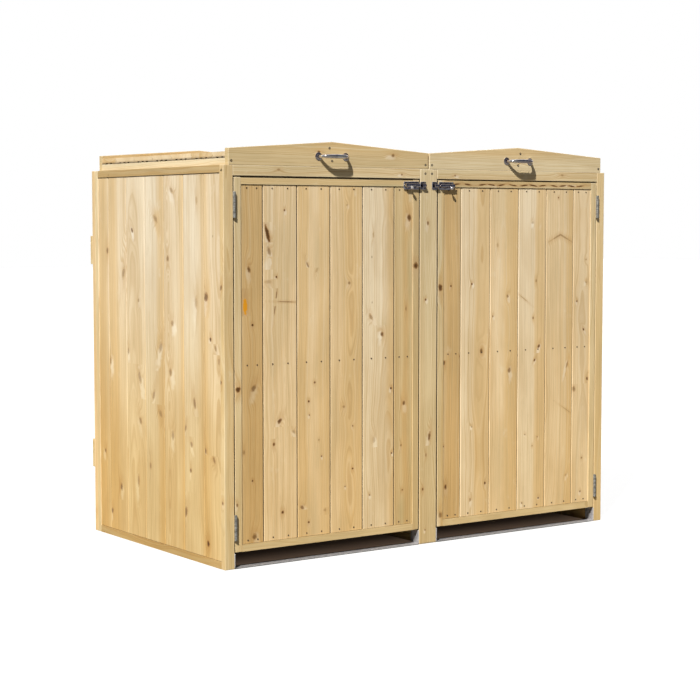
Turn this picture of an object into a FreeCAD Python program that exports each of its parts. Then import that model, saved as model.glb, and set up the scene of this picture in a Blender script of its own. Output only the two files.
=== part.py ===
import FreeCAD, Part
import math
import os

# A double wheelie bin store. Seen from the front, X runs to the right, Y to the back and Z up.
# The origin is on the ground, midway between the side faces, front and back.
# All sizes are in millimetres.

# Carcass
carcass_width = 1520.0
carcass_depth = 840.0
carcass_height = 1200.0

# Framing timber is rebated, so that a lip stays in sight round the boards
frame_thickness = 33.0
frame_width = 42.0
side_lip = 22.0
door_stile_lip = 24.0
door_rail_lip = 21.0
centre_post_width = 70.0
front_rail_height = 31.0

# Tongue and groove boards of the doors, sides and divider
board_cover = 122.0
board_thickness = 12.0
board_recess = 2.5
board_vee = 2.5
board_gap = 0.5
tongue_length = 5.0
tongue_thickness = 4.0
tongue_play = 0.3
side_first_board = 68.0
divider_first_board = 70.0
door_first_board = 77.0

# Back boards and their battens
back_board_thickness = 20.0
back_full_boards = 11
back_vee = 1.5
batten_width = 94.0
batten_thickness = 15.0
batten_edge_distance = 213.5

# Doors
door_side_gap = 3.5
door_top_gap = 4.0
door_ground_gap = 50.0

# Lids
lid_inset = 18.0
lid_centre_gap = 6.0
gable_thickness = 20.0
gable_end_height = 50.0
gable_peak_height = 76.0
roof_drop = 10.0
roof_board_thickness = 19.0
roof_full_boards = 5
roof_vee = 1.0
ridge_gap = 0.4
relief_width = 10.0
relief_depth = 3.0
relief_pitch = 28.0
lid_batten_width = 20.0
rafter_width = 33.0
rafter_depth = 44.0

# Butt hinges
hinge_length = 76.0
hinge_leaf_width = 25.0
hinge_leaf_thickness = 1.5
hinge_leaf_gap = 0.5
knuckle_radius = 4.5
knuckle_count = 5
knuckle_play = 0.3
knuckle_clearance = 0.5
pin_radius = 2.5
pin_play = 0.05
pin_head_radius = 4.0
pin_head_height = 1.5
door_hinge_bottom_distance = 36.0
door_hinge_top_distance = 44.0
lid_hinge_spread = 480.0
hinge_screw_count = 3
hinge_screw_stagger = 4.0
hinge_screw_radius = 1.6
hinge_screw_head_radius = 3.0
hinge_screw_length = 18.0

# Bolts
bolt_drop = 17.5
bolt_plate_length = 60.0
bolt_plate_height = 25.0
bolt_plate_thickness = 1.6
bolt_edge_distance = 1.5
bolt_screw_radius = 1.2
bolt_screw_head_radius = 2.4
bolt_screw_length = 14.0
bolt_screw_edge = 3.0
bolt_axis_height = 6.8
bolt_rod_radius = 4.0
bolt_rod_play = 0.08
bolt_wall = 2.2
barrel_end_distance = 2.5
bolt_travel = 18.0
bolt_rod_set_back = 2.0
knob_set_back = 41.0
knob_neck_radius = 2.4
knob_neck_length = 14.0
knob_radius = 5.0
knob_slot_play = 0.3
knob_angle = 35.0
keep_length = 22.0
keep_loop_length = 14.0
keep_edge_distance = 1.0
keep_play = 0.3

# Lid handles
handle_centres = 100.0
handle_height = 31.0
handle_projection = 30.0
handle_bar_radius = 6.0
handle_bend_radius = 28.0
handle_rose_radius = 12.5
handle_rose_height = 3.5

# Threshold straps
strap_depth = 40.0
strap_thickness = 2.5
strap_turn_up = 46.0

# Screws and nails
screw_radius = 2.0
screw_head_radius = 4.0
screw_length = 50.0
strap_screw_length = 22.0
strap_screw_height = 30.0
dome_height = 2.0
screw_play = 0.05
nail_radius = 1.2
nail_head_radius = 2.4
nail_head_height = 0.8
nail_length = 25.0
nail_edge_distance = 11.0
nail_spread = 0.45

# Places worked out from the sizes above
front = -carcass_depth / 2
back = carcass_depth / 2
left = -carcass_width / 2
back_inner = back - back_board_thickness
post_back = front + frame_thickness
rebate_depth = board_recess + board_thickness
bay_outer = left + frame_thickness
bay_inner = -centre_post_width / 2
door_left = bay_outer + door_side_gap
door_right = bay_inner - door_side_gap
door_width = door_right - door_left
door_top = carcass_height - front_rail_height - door_top_gap
door_height = door_top - door_ground_gap
lid_left = left + lid_inset
lid_right = -lid_centre_gap / 2
lid_centre = (lid_left + lid_right) / 2
roof_rise = gable_peak_height - gable_end_height
roof_run = (lid_right - lid_left) / 2
roof_angle = math.atan2(roof_rise, roof_run)

X_AXIS = FreeCAD.Vector(1, 0, 0)
Y_AXIS = FreeCAD.Vector(0, 1, 0)
Z_AXIS = FreeCAD.Vector(0, 0, 1)


def box(x0, x1, y0, y1, z0, z1):
    return Part.makeBox(x1 - x0, y1 - y0, z1 - z0, FreeCAD.Vector(x0, y0, z0))


def prism(points, travel):
    """A closed outline pushed along a vector."""
    wire = Part.makePolygon(points + points[:1])
    return Part.Face(wire).extrude(travel)


def rod(radius, length, start, direction):
    return Part.makeCylinder(radius, length, start, direction)


def joined(shapes):
    return shapes[0].fuse(shapes[1:]).removeSplitter()


def mirrored(shape):
    """The same piece on the other half of the store."""
    return shape.mirror(FreeCAD.Vector(0, 0, 0), X_AXIS)


def placed(shape, origin, across, inward, along):
    """Moves a piece made flat on X, Y and Z so that they run across, inward and along."""
    matrix = FreeCAD.Matrix(
        across.x, inward.x, along.x, origin.x,
        across.y, inward.y, along.y, origin.y,
        across.z, inward.z, along.z, origin.z,
        0, 0, 0, 1)
    copy = shape.copy()
    copy.Placement = FreeCAD.Placement(matrix).multiply(shape.Placement)
    return copy


# Rebated frames, made flat: X across, Y from the outer face inward, Z up

def stile(height, lip):
    """An upright whose lip is at X = 0 and whose rebate faces +X."""
    lip_part = box(0, lip, 0, frame_thickness, 0, height)
    shoulder = box(lip, frame_width, rebate_depth, frame_thickness, 0, height)
    return joined([lip_part, shoulder])


def rail(width, lip, low_end, high_end):
    """A cross piece. Its ends are (lip, full width) of the stile that it meets there."""
    lip_part = box(low_end[0], width - high_end[0], 0, rebate_depth, 0, lip)
    shoulder = box(low_end[1], width - high_end[1], rebate_depth, frame_thickness, 0, frame_width)
    return joined([lip_part, shoulder])


def turned_over(shape, axis, size):
    """The mirror image of a frame member at the far side of a frame of that size."""
    return shape.mirror(axis * (size / 2), axis)


def board_outline(low, high, thickness, vee, has_groove, has_tongue):
    """The section of one board, with its face at Y = 0."""
    tongue_face = (thickness - tongue_thickness) / 2
    tongue_back = tongue_face + tongue_thickness
    low_vee = vee if has_groove else 0.0
    high_vee = vee if has_tongue else 0.0
    points = [(low + low_vee, 0), (high - high_vee, 0)]
    if has_tongue:
        tip = high + tongue_length
        points += [(high, vee), (high, tongue_face), (tip, tongue_face)]
        points += [(tip, tongue_back), (high, tongue_back)]
    points += [(high, thickness), (low, thickness)]
    if has_groove:
        root = low + tongue_length
        groove_face = tongue_face - tongue_play
        groove_back = tongue_back + tongue_play
        points += [(low, groove_back), (root, groove_back)]
        points += [(root, groove_face), (low, groove_face), (low, vee)]
    return [FreeCAD.Vector(x, y, 0) for x, y in points]


def board_edges(span, first):
    """Where the boards of a panel begin and end."""
    edges = [0.0]
    joint = first
    while joint < span - 2 * tongue_length:
        edges.append(joint)
        joint += board_cover
    return edges + [span]


def boarding(span, first, length, thickness, vee):
    """A row of tongue and groove boards, made flat: X across them, Y inward, Z along them."""
    edges = board_edges(span, first)
    boards = []
    for index in range(len(edges) - 1):
        low = edges[index] + board_gap / 2
        high = edges[index + 1] - board_gap / 2
        outline = board_outline(low, high, thickness, vee, index > 0, index < len(edges) - 2)
        boards.append(prism(outline, Z_AXIS * length))
    return boards


def panel_boards(width, height, low_lip, high_lip, rail_lip, first):
    """The boards that fill a rebated frame, laid on its shoulders."""
    length = height - 2 * rail_lip - 2 * board_gap
    shift = FreeCAD.Vector(low_lip, board_recess, rail_lip + board_gap)
    boards = boarding(width - low_lip - high_lip, first, length, board_thickness, board_vee)
    return [board.translated(shift) for board in boards]


# Screws and nails. Each comes with the hole that it leaves in the timber

def screw(head, direction, radius=screw_radius, head_radius=screw_head_radius, length=screw_length):
    """A countersunk screw, its flat head flush with the surface at head."""
    head_depth = head_radius - radius
    cone = Part.makeCone(head_radius, radius, head_depth, head, direction)
    shank = rod(radius, length - head_depth, head + direction * head_depth, direction)
    return joined([cone, shank])


def screw_hole(head, direction, radius=screw_radius, head_radius=screw_head_radius, length=screw_length):
    return screw(head, direction, radius + screw_play, head_radius + screw_play, length)


def nail(surface, direction):
    """A flat-headed nail that stands on the surface by the height of its head."""
    head = rod(nail_head_radius, nail_head_height, surface - direction * nail_head_height, direction)
    return joined([head, rod(nail_radius, nail_length, surface, direction)])


def nail_hole(surface, direction):
    return rod(nail_radius + screw_play, nail_length, surface, direction)


def dome_screw(surface, direction):
    """A round-headed screw that holds a metal strap."""
    sphere_radius = (screw_head_radius ** 2 + dome_height ** 2) / (2 * dome_height)
    centre = surface + direction * (sphere_radius - dome_height)
    ball = Part.makeSphere(sphere_radius, centre)
    head = ball.common(rod(screw_head_radius, dome_height, surface - direction * dome_height, direction))
    return joined([head, rod(screw_radius, strap_screw_length, surface, direction)])


def dome_screw_hole(surface, direction):
    return rod(screw_radius + screw_play, strap_screw_length, surface, direction)


# Butt hinges, made flat: the pin runs along Z, leaves lie along Y at X = offset

def knuckle_spans(moving):
    """The stretches of the barrel that belong to the moving or to the fixed leaf."""
    pitch = hinge_length / knuckle_count
    spans = []
    for index in range(knuckle_count):
        if (index % 2 == 1) == moving:
            low = index * pitch + (knuckle_play if index > 0 else 0.0)
            high = (index + 1) * pitch - (knuckle_play if index < knuckle_count - 1 else 0.0)
            spans.append((low, high))
    return spans


def hinge_leaf(offset, start, reach, moving):
    """A leaf from X = offset outward by its thickness, from Y = start over its reach, with its knuckles."""
    x0, x1 = sorted((offset, offset + math.copysign(hinge_leaf_thickness, offset)))
    y0, y1 = sorted((start, start + reach))
    y_web = sorted((0.0, start))
    solids = [box(x0, x1, y0, y1, 0, hinge_length)]
    bores = []
    for low, high in knuckle_spans(moving):
        base = FreeCAD.Vector(0, 0, low)
        solids.append(box(x0, x1, y_web[0], y_web[1], low, high))
        solids.append(rod(knuckle_radius, high - low, base, Z_AXIS))
        bores.append(rod(pin_radius + pin_play, high - low, base, Z_AXIS))
    return joined(solids).cut(bores)


def screwed_leaf(offset, start, reach, moving):
    """A leaf, its countersunk screws, and the holes that they leave."""
    away = X_AXIS * math.copysign(1.0, offset)
    size = (hinge_screw_radius, hinge_screw_head_radius, hinge_screw_length)
    screws = []
    bores = []
    for index in range(hinge_screw_count):
        z = hinge_length * (index + 0.5) / hinge_screw_count
        stagger = hinge_screw_stagger if index % 2 else -hinge_screw_stagger
        head = FreeCAD.Vector(offset, start + reach / 2 + stagger, z)
        screws.append(screw(head, away, *size))
        bores.append(screw_hole(head, away, *size))
    return [hinge_leaf(offset, start, reach, moving).cut(bores)] + screws, bores


def hinge_pin():
    """The pin hangs in the barrel by its head."""
    shank = rod(pin_radius, hinge_length, FreeCAD.Vector(0, 0, 0), Z_AXIS)
    head = rod(pin_head_radius, pin_head_height, FreeCAD.Vector(0, 0, hinge_length), Z_AXIS)
    return joined([shank, head])


# The pieces of the store by name. Those of the left half are mirrored to the right at the end

pieces = {}
holes = {}


def cut_later(tool, names):
    for name in names:
        holes.setdefault(name, []).append(tool)


def build_side_panel():
    """Five pieces, made flat from the back to the front."""
    width = back_inner - front
    lips = (side_lip, frame_width)
    low_rail = rail(width, side_lip, lips, lips)
    back_stile = stile(carcass_height, side_lip)
    parts = {
        "left_side_back_stile": [back_stile],
        "left_side_front_stile": [turned_over(back_stile, X_AXIS, width)],
        "left_side_bottom_rail": [low_rail],
        "left_side_top_rail": [turned_over(low_rail, Z_AXIS, carcass_height)],
        "left_side_boards": panel_boards(
            width, carcass_height, side_lip, side_lip, side_lip, side_first_board),
    }
    origin = FreeCAD.Vector(left, back_inner, 0)
    for name, solids in parts.items():
        pieces[name] = [placed(solid, origin, -Y_AXIS, X_AXIS, Z_AXIS) for solid in solids]


def build_divider():
    """The centre post, and behind it a frame with boards that parts the two bays."""
    width = back_inner - post_back
    low_rail = rail(width, side_lip, (side_lip, frame_width), (0, 0))
    parts = {
        "divider_back_stile": [stile(carcass_height, side_lip)],
        "divider_rails": [low_rail, turned_over(low_rail, Z_AXIS, carcass_height)],
        "divider_boards": panel_boards(
            width, carcass_height, side_lip, 0.0, side_lip, divider_first_board),
    }
    origin = FreeCAD.Vector(-frame_thickness / 2, back_inner, 0)
    for name, solids in parts.items():
        pieces[name] = [placed(solid, origin, -Y_AXIS, X_AXIS, Z_AXIS) for solid in solids]
    pieces["centre_post"] = [box(bay_inner, -bay_inner, front, post_back, 0, carcass_height)]


def build_front_rails():
    """A rail over each door, between the corner post and the centre post."""
    low = carcass_height - front_rail_height
    left_rail = box(bay_outer, bay_inner, front, post_back, low, carcass_height)
    pieces["front_rails"] = [left_rail, mirrored(left_rail)]


def build_back():
    """Upright boards over the whole back, held by two battens on their outer face."""
    first = (carcass_width - back_full_boards * board_cover) / 2
    boards = boarding(carcass_width, first, carcass_height, back_board_thickness, back_vee)
    origin = FreeCAD.Vector(-left, back, 0)
    pieces["back_boards"] = [placed(board, origin, -X_AXIS, -Y_AXIS, Z_AXIS) for board in boards]
    outer = back + batten_thickness
    for name, low in (
            ("back_lower_batten", batten_edge_distance),
            ("back_upper_batten", carcass_height - batten_edge_distance - batten_width)):
        pieces[name] = [box(left, -left, back, outer, low, low + batten_width)]


def build_door():
    """A rebated frame filled with boards, made flat from the hinge side to the lock side."""
    lips = (door_stile_lip, frame_width)
    hinge_stile = stile(door_height, door_stile_lip)
    low_rail = rail(door_width, door_rail_lip, lips, lips)
    middle_rail = box(
        frame_width, door_width - frame_width, rebate_depth, frame_thickness,
        (door_height - frame_width) / 2, (door_height + frame_width) / 2)
    parts = {
        "left_door_hinge_stile": [hinge_stile],
        "left_door_lock_stile": [turned_over(hinge_stile, X_AXIS, door_width)],
        "left_door_bottom_rail": [low_rail],
        "left_door_middle_rail": [middle_rail],
        "left_door_top_rail": [turned_over(low_rail, Z_AXIS, door_height)],
        "left_door_boards": panel_boards(
            door_width, door_height, door_stile_lip, door_stile_lip, door_rail_lip, door_first_board),
    }
    origin = FreeCAD.Vector(door_left, front, door_ground_gap)
    for name, solids in parts.items():
        pieces[name] = [solid.translated(origin) for solid in solids]


def build_door_nails():
    """Two nails through each board into each of the three rails."""
    span = door_width - 2 * door_stile_lip
    edges = board_edges(span, door_first_board)
    y = front + board_recess
    heights = {
        "left_door_top_rail": door_top - door_rail_lip - nail_edge_distance,
        "left_door_middle_rail": door_ground_gap + door_height / 2,
        "left_door_bottom_rail": door_ground_gap + door_rail_lip + nail_edge_distance,
    }
    nails = []
    for low, high in zip(edges, edges[1:]):
        centre = door_left + door_stile_lip + (low + high) / 2
        half = (high - low) / 2 * nail_spread
        for x in (centre - half, centre + half):
            for rail_name, z in heights.items():
                place = FreeCAD.Vector(x, y, z)
                nails.append(nail(place, Y_AXIS))
                cut_later(nail_hole(place, Y_AXIS), [
                    "left_door_boards", rail_name, "left_door_hinge_stile", "left_door_lock_stile"])
    pieces["left_door_nails"] = nails


def build_door_hinges():
    """Two butt hinges in the gap beside the door, their pins just proud of its face."""
    axis_x = bay_outer + door_side_gap / 2
    axis_y = front - knuckle_radius - knuckle_clearance
    leaf_offset = hinge_leaf_gap / 2
    start = front - axis_y
    post_leaf, post_bores = screwed_leaf(-leaf_offset, start, hinge_leaf_width, False)
    door_leaf, door_bores = screwed_leaf(leaf_offset, start, hinge_leaf_width, True)
    fixed = []
    moving = []
    for low in (
            door_ground_gap + door_hinge_bottom_distance,
            door_top - door_hinge_top_distance - hinge_length):
        place = FreeCAD.Vector(axis_x, axis_y, low)
        fixed += [solid.translated(place) for solid in post_leaf + [hinge_pin()]]
        moving += [solid.translated(place) for solid in door_leaf]
        for bore in post_bores:
            cut_later(bore.translated(place), ["left_side_front_stile"])
        for bore in door_bores:
            cut_later(bore.translated(place), ["left_door_hinge_stile"])
    pieces["left_door_hinge_leaves"] = moving
    pieces["door_hinge_post_leaves"] = fixed + [mirrored(solid) for solid in fixed]


def bolt_tube(start, length, radius, bore):
    """A tube along the bolt, on a foot that stands on the plate below it."""
    foot_low = front - bolt_axis_height
    tube = rod(radius, length, FreeCAD.Vector(start, foot_low, bolt_height), X_AXIS)
    foot = box(
        start, start + length, foot_low, front, bolt_height - radius, bolt_height + radius)
    hole = rod(bore, length, FreeCAD.Vector(start, foot_low, bolt_height), X_AXIS)
    return joined([tube, foot]).cut(hole)


def bolt_plate(start, length):
    low = bolt_height - bolt_plate_height / 2
    high = bolt_height + bolt_plate_height / 2
    return box(start, start + length, front - bolt_plate_thickness, front, low, high)


bolt_height = door_top - bolt_drop
knob_direction = FreeCAD.Vector(
    0, -math.cos(math.radians(knob_angle)), -math.sin(math.radians(knob_angle)))


def plate_screws(plate, columns, names):
    """Screws above and below the barrel. Returns the plate with its holes, and the screws."""
    size = (bolt_screw_radius, bolt_screw_head_radius, bolt_screw_length)
    reach = bolt_plate_height / 2 - bolt_screw_edge
    screws = []
    bores = []
    for x in columns:
        for z in (bolt_height - reach, bolt_height + reach):
            head = FreeCAD.Vector(x, front - bolt_plate_thickness, z)
            screws.append(screw(head, Y_AXIS, *size))
            bores.append(screw_hole(head, Y_AXIS, *size))
            cut_later(bores[-1], names)
    return plate.cut(bores), screws


def build_bolt():
    """A barrel bolt on the door's lock corner. At rest it is drawn back, clear of its keep."""
    plate_end = door_right - bolt_edge_distance
    plate_start = plate_end - bolt_plate_length
    barrel_start = plate_start + barrel_end_distance
    barrel_length = bolt_plate_length - 2 * barrel_end_distance
    tube_radius = bolt_rod_radius + bolt_wall
    barrel = bolt_tube(barrel_start, barrel_length, tube_radius, bolt_rod_radius + bolt_rod_play)
    plate = bolt_plate(plate_start, bolt_plate_length)
    axis_point = FreeCAD.Vector(0, front - bolt_axis_height, bolt_height)

    # The slot that the knob travels in
    knob_x = door_right - knob_set_back
    slot_half = knob_neck_radius + knob_slot_play
    slot = box(
        knob_x - slot_half, knob_x + bolt_travel + slot_half,
        axis_point.y - 2 * tube_radius, axis_point.y,
        bolt_height - slot_half, bolt_height + slot_half)
    slot.rotate(axis_point, X_AXIS, knob_angle)
    columns = (plate_start + 2 * barrel_end_distance, plate_end - 2 * barrel_end_distance)
    fixed_barrel, screws = plate_screws(
        joined([barrel, plate]).cut(slot), columns,
        ["left_door_lock_stile", "left_door_top_rail", "left_door_boards"])
    pieces["left_bolt_barrel"] = [fixed_barrel] + screws

    rod_end = door_right - bolt_rod_set_back
    rod_start = FreeCAD.Vector(barrel_start, axis_point.y, bolt_height)
    knob_place = FreeCAD.Vector(knob_x, axis_point.y, bolt_height)
    pieces["left_bolt_rod"] = [joined([
        rod(bolt_rod_radius, rod_end - barrel_start, rod_start, X_AXIS),
        rod(knob_neck_radius, knob_neck_length, knob_place, knob_direction),
        Part.makeSphere(knob_radius, knob_place + knob_direction * knob_neck_length),
    ])]


def build_keeps():
    """A loop on a small plate beside each bolt, on the centre post."""
    start = bay_inner + keep_edge_distance
    loop_start = start + (keep_length - keep_loop_length) / 4
    bore = bolt_rod_radius + keep_play
    loop = bolt_tube(loop_start, keep_loop_length, bolt_rod_radius + bolt_wall, bore)
    keep = joined([loop, bolt_plate(start, keep_length)])
    columns = (start + keep_length / 4, start + keep_length * 3 / 4)
    keep, screws = plate_screws(keep, columns, [])
    screws += [mirrored(one) for one in screws]
    pieces["bolt_keeps"] = [keep, mirrored(keep)]
    pieces["carcass_screws"] = screws
    cut_later(Part.makeCompound(screws), ["centre_post"])


def build_straps():
    """A flat galvanised strap on the ground across each doorway, turned up against the posts."""
    y0 = front
    y1 = front + strap_depth
    flat = box(bay_outer, bay_inner, y0, y1, 0, strap_thickness)
    low_end = box(bay_outer, bay_outer + strap_thickness, y0, y1, 0, strap_turn_up)
    high_end = box(bay_inner - strap_thickness, bay_inner, y0, y1, 0, strap_turn_up)
    strap = joined([flat, low_end, high_end])
    pieces["threshold_straps"] = [strap, mirrored(strap)]


def gable_top(x):
    """Height of the gable's upper edge over its foot."""
    return gable_end_height + roof_rise * (1 - abs(x - lid_centre) / roof_run)


def roof_underside(x):
    return carcass_height + gable_top(x) - roof_drop - roof_board_thickness / math.cos(roof_angle)


def build_lid_frame():
    """Two gable boards, two side battens and a ridge rafter."""
    outline = [
        FreeCAD.Vector(lid_left, front, carcass_height),
        FreeCAD.Vector(lid_right, front, carcass_height),
        FreeCAD.Vector(lid_right, front, carcass_height + gable_end_height),
        FreeCAD.Vector(lid_centre, front, carcass_height + gable_peak_height),
        FreeCAD.Vector(lid_left, front, carcass_height + gable_end_height),
    ]
    gable = prism(outline, Y_AXIS * gable_thickness)
    pieces["left_lid_front_gable"] = [gable]
    pieces["left_lid_back_gable"] = [gable.translated(Y_AXIS * (carcass_depth - gable_thickness))]

    inner_length = Y_AXIS * (carcass_depth - 2 * gable_thickness)
    y = front + gable_thickness
    battens = []
    for x0, x1 in (
            (lid_left, lid_left + lid_batten_width),
            (lid_right - lid_batten_width, lid_right)):
        section = [
            FreeCAD.Vector(x0, y, carcass_height),
            FreeCAD.Vector(x1, y, carcass_height),
            FreeCAD.Vector(x1, y, roof_underside(x1)),
            FreeCAD.Vector(x0, y, roof_underside(x0)),
        ]
        battens.append(prism(section, inner_length))
    pieces["left_lid_side_battens"] = battens

    x0 = lid_centre - rafter_width / 2
    x1 = lid_centre + rafter_width / 2
    top = roof_underside(lid_centre)
    section = [
        FreeCAD.Vector(x0, y, top - rafter_depth),
        FreeCAD.Vector(x1, y, top - rafter_depth),
        FreeCAD.Vector(x1, y, roof_underside(x1)),
        FreeCAD.Vector(lid_centre, y, top),
        FreeCAD.Vector(x0, y, roof_underside(x0)),
    ]
    pieces["left_lid_ridge_rafter"] = [prism(section, inner_length)]


def relief_grooves(edges, length):
    """Three shallow grooves under each board, made flat as the boards are."""
    y0 = roof_board_thickness - relief_depth
    grooves = []
    for low, high in zip(edges, edges[1:]):
        centre = high - board_cover / 2 if low == 0 else low + board_cover / 2
        for x in (centre - relief_pitch, centre, centre + relief_pitch):
            x0 = x - relief_width / 2
            x1 = x + relief_width / 2
            if low < x0 and x1 < high:
                grooves.append(box(x0, x1, y0, roof_board_thickness, 0, length))
    return grooves


def build_roof_boards():
    """Boards from the eaves to the ridge on both slopes, cut plumb at their ends."""
    span = carcass_depth - 2 * gable_thickness
    first = (span - roof_full_boards * board_cover) / 2
    length = roof_run / math.cos(roof_angle) + 2 * roof_board_thickness
    boards = boarding(span, first, length, roof_board_thickness, roof_vee)
    grooves = relief_grooves(board_edges(span, first), length)
    boards = [board.cut(grooves) for board in boards]

    along = FreeCAD.Vector(math.cos(roof_angle), 0, math.sin(roof_angle))
    inward = FreeCAD.Vector(math.sin(roof_angle), 0, -math.cos(roof_angle))
    eave = FreeCAD.Vector(
        lid_left, back - gable_thickness, carcass_height + gable_end_height - roof_drop)
    origin = eave - along * roof_board_thickness
    keep_between = box(
        lid_left, lid_centre - ridge_gap / 2, front, back, carcass_height,
        carcass_height + 2 * gable_peak_height)
    slope = [
        placed(board, origin, -Y_AXIS, inward, along).common(keep_between) for board in boards]
    middle = FreeCAD.Vector(lid_centre, 0, 0)
    pieces["left_lid_roof_boards"] = slope + [board.mirror(middle, X_AXIS) for board in slope]


def build_lid_screws():
    """Screws through each gable board into the battens, the rafter and the end roof board."""
    low = carcass_height + gable_end_height / 4
    rafter_low = roof_underside(lid_centre) - rafter_depth * 2 / 3
    ridge = carcass_height + gable_peak_height - roof_drop - roof_board_thickness / 2
    targets = (
        ("left_lid_side_battens", lid_left + lid_batten_width / 2, low),
        ("left_lid_side_battens", lid_right - lid_batten_width / 2, low),
        ("left_lid_ridge_rafter", lid_centre, rafter_low),
        ("left_lid_roof_boards", lid_centre - roof_board_thickness / 2, ridge),
    )
    screws = []
    for gable, y, direction in (
            ("left_lid_front_gable", front, Y_AXIS),
            ("left_lid_back_gable", back, -Y_AXIS)):
        for target, x, z in targets:
            place = FreeCAD.Vector(x, y, z)
            screws.append(screw(place, direction))
            cut_later(screw_hole(place, direction), [gable, target])
    pieces["left_lid_screws"] = screws


def build_lid_hinges():
    """Two butt hinges opened flat on the back, their pins level with the top of the carcass."""
    axis_offset = knuckle_radius + knuckle_clearance
    leaf_offset = -(axis_offset - hinge_leaf_thickness)
    lower, lower_bores = screwed_leaf(leaf_offset, -knuckle_radius, -hinge_leaf_width, False)
    upper, upper_bores = screwed_leaf(leaf_offset, knuckle_radius, hinge_leaf_width, True)
    fixed = []
    moving = []
    for centre in (lid_centre - lid_hinge_spread / 2, lid_centre + lid_hinge_spread / 2):
        place = FreeCAD.Vector(centre - hinge_length / 2, back + axis_offset, carcass_height)
        turn = (place, Y_AXIS, Z_AXIS, X_AXIS)
        fixed += [placed(solid, *turn) for solid in lower + [hinge_pin()]]
        moving += [placed(solid, *turn) for solid in upper]
        for bore in lower_bores:
            hole = placed(bore, *turn)
            cut_later(hole, ["back_boards"])
            cut_later(mirrored(hole), ["back_boards"])
        for bore in upper_bores:
            cut_later(placed(bore, *turn), ["left_lid_back_gable"])
    pieces["left_lid_hinge_leaves"] = moving
    pieces["lid_hinge_back_leaves"] = fixed + [mirrored(solid) for solid in fixed]


def build_lid_handle():
    """A bow of round bar between two roses, on the front gable board."""
    z = carcass_height + handle_height
    reach = handle_projection
    bend = handle_bend_radius
    x_foot = handle_centres / 2

    def point(x, out):
        return FreeCAD.Vector(lid_centre + x, front - out, z)

    corner = bend * (1 - math.sqrt(0.5))
    edges = [
        Part.LineSegment(point(-x_foot, 0), point(-x_foot, reach - bend)).toShape(),
        Part.Arc(
            point(-x_foot, reach - bend), point(-x_foot + corner, reach - corner),
            point(-x_foot + bend, reach)).toShape(),
        Part.LineSegment(point(-x_foot + bend, reach), point(x_foot - bend, reach)).toShape(),
        Part.Arc(
            point(x_foot - bend, reach), point(x_foot - corner, reach - corner),
            point(x_foot, reach - bend)).toShape(),
        Part.LineSegment(point(x_foot, reach - bend), point(x_foot, 0)).toShape(),
    ]
    section = Part.Wire(Part.makeCircle(handle_bar_radius, point(-x_foot, 0), -Y_AXIS))
    bow = Part.Wire(edges).makePipeShell([section], True, False)
    solids = [bow]
    for x in (-x_foot, x_foot):
        solids.append(Part.makeCone(
            handle_rose_radius, handle_bar_radius + handle_rose_height / 2, handle_rose_height,
            point(x, 0), -Y_AXIS))
    pieces["left_lid_handle"] = [joined(solids)]


def build_carcass_screws():
    """More screws in sight: centre post, corner posts, strap ends and back battens."""
    screws = pieces["carcass_screws"]
    rail_middle = carcass_height - front_rail_height / 2
    post_screw = FreeCAD.Vector(-frame_thickness * 2 / 5, front, carcass_height - side_lip * 2 / 3)
    for place in (post_screw, FreeCAD.Vector(-post_screw.x, post_screw.y, post_screw.z)):
        screws.append(screw(place, Y_AXIS))
        cut_later(screw_hole(place, Y_AXIS), ["centre_post", "divider_rails"])

    place = FreeCAD.Vector(left, front + frame_thickness / 3, rail_middle)
    screws.append(screw(place, X_AXIS))
    screws.append(mirrored(screws[-1]))
    hole = screw_hole(place, X_AXIS)
    cut_later(hole, ["left_side_front_stile", "front_rails"])
    cut_later(mirrored(hole), ["front_rails"])

    y = front + strap_depth * 2 / 5
    for x, direction, post in (
            (bay_outer + strap_thickness, -X_AXIS, "left_side_front_stile"),
            (bay_inner - strap_thickness, X_AXIS, "centre_post")):
        place = FreeCAD.Vector(x, y, strap_screw_height)
        hole = dome_screw_hole(place, direction)
        screws.append(dome_screw(place, direction))
        screws.append(mirrored(screws[-1]))
        cut_later(hole, ["threshold_straps", post])
        cut_later(mirrored(hole), ["threshold_straps"])
        if post == "centre_post":
            cut_later(mirrored(hole), [post])

    y = back + batten_thickness
    stile_middle = -left - frame_thickness / 2
    for batten, middle in (
            ("back_lower_batten", batten_edge_distance + batten_width / 2),
            ("back_upper_batten", carcass_height - batten_edge_distance - batten_width / 2)):
        for x, post in (
                (-stile_middle, "left_side_back_stile"),
                (0.0, "divider_back_stile"),
                (stile_middle, None)):
            for z in (middle - batten_width / 4, middle + batten_width / 4):
                place = FreeCAD.Vector(x, y, z)
                screws.append(screw(place, -Y_AXIS))
                names = [batten, "back_boards"] + ([post] if post else [])
                cut_later(screw_hole(place, -Y_AXIS), names)


def mirror_the_left_half():
    for name in [name for name in pieces if name.startswith("left_")]:
        pieces[name.replace("left_", "right_", 1)] = [mirrored(solid) for solid in pieces[name]]


def save_pieces():
    os.makedirs("parts", exist_ok=True)
    for name, solids in pieces.items():
        shape = Part.makeCompound(solids) if len(solids) > 1 else solids[0]
        shape.exportStep("parts/" + name + ".step")
        print(name, len(solids), round(shape.Volume / 1000.0, 2), "cm3")


build_side_panel()
build_divider()
build_front_rails()
build_back()
build_straps()
build_door()
build_door_nails()
build_door_hinges()
build_bolt()
build_keeps()
build_lid_frame()
build_roof_boards()
build_lid_screws()
build_lid_hinges()
build_lid_handle()
build_carcass_screws()
for piece_name, tools in holes.items():
    bored = Part.makeCompound(pieces[piece_name]).cut(tools)
    pieces[piece_name] = bored.Solids
mirror_the_left_half()
save_pieces()
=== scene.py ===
import math
import random

import bmesh
import bpy
from mathutils import Matrix, Vector


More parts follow.
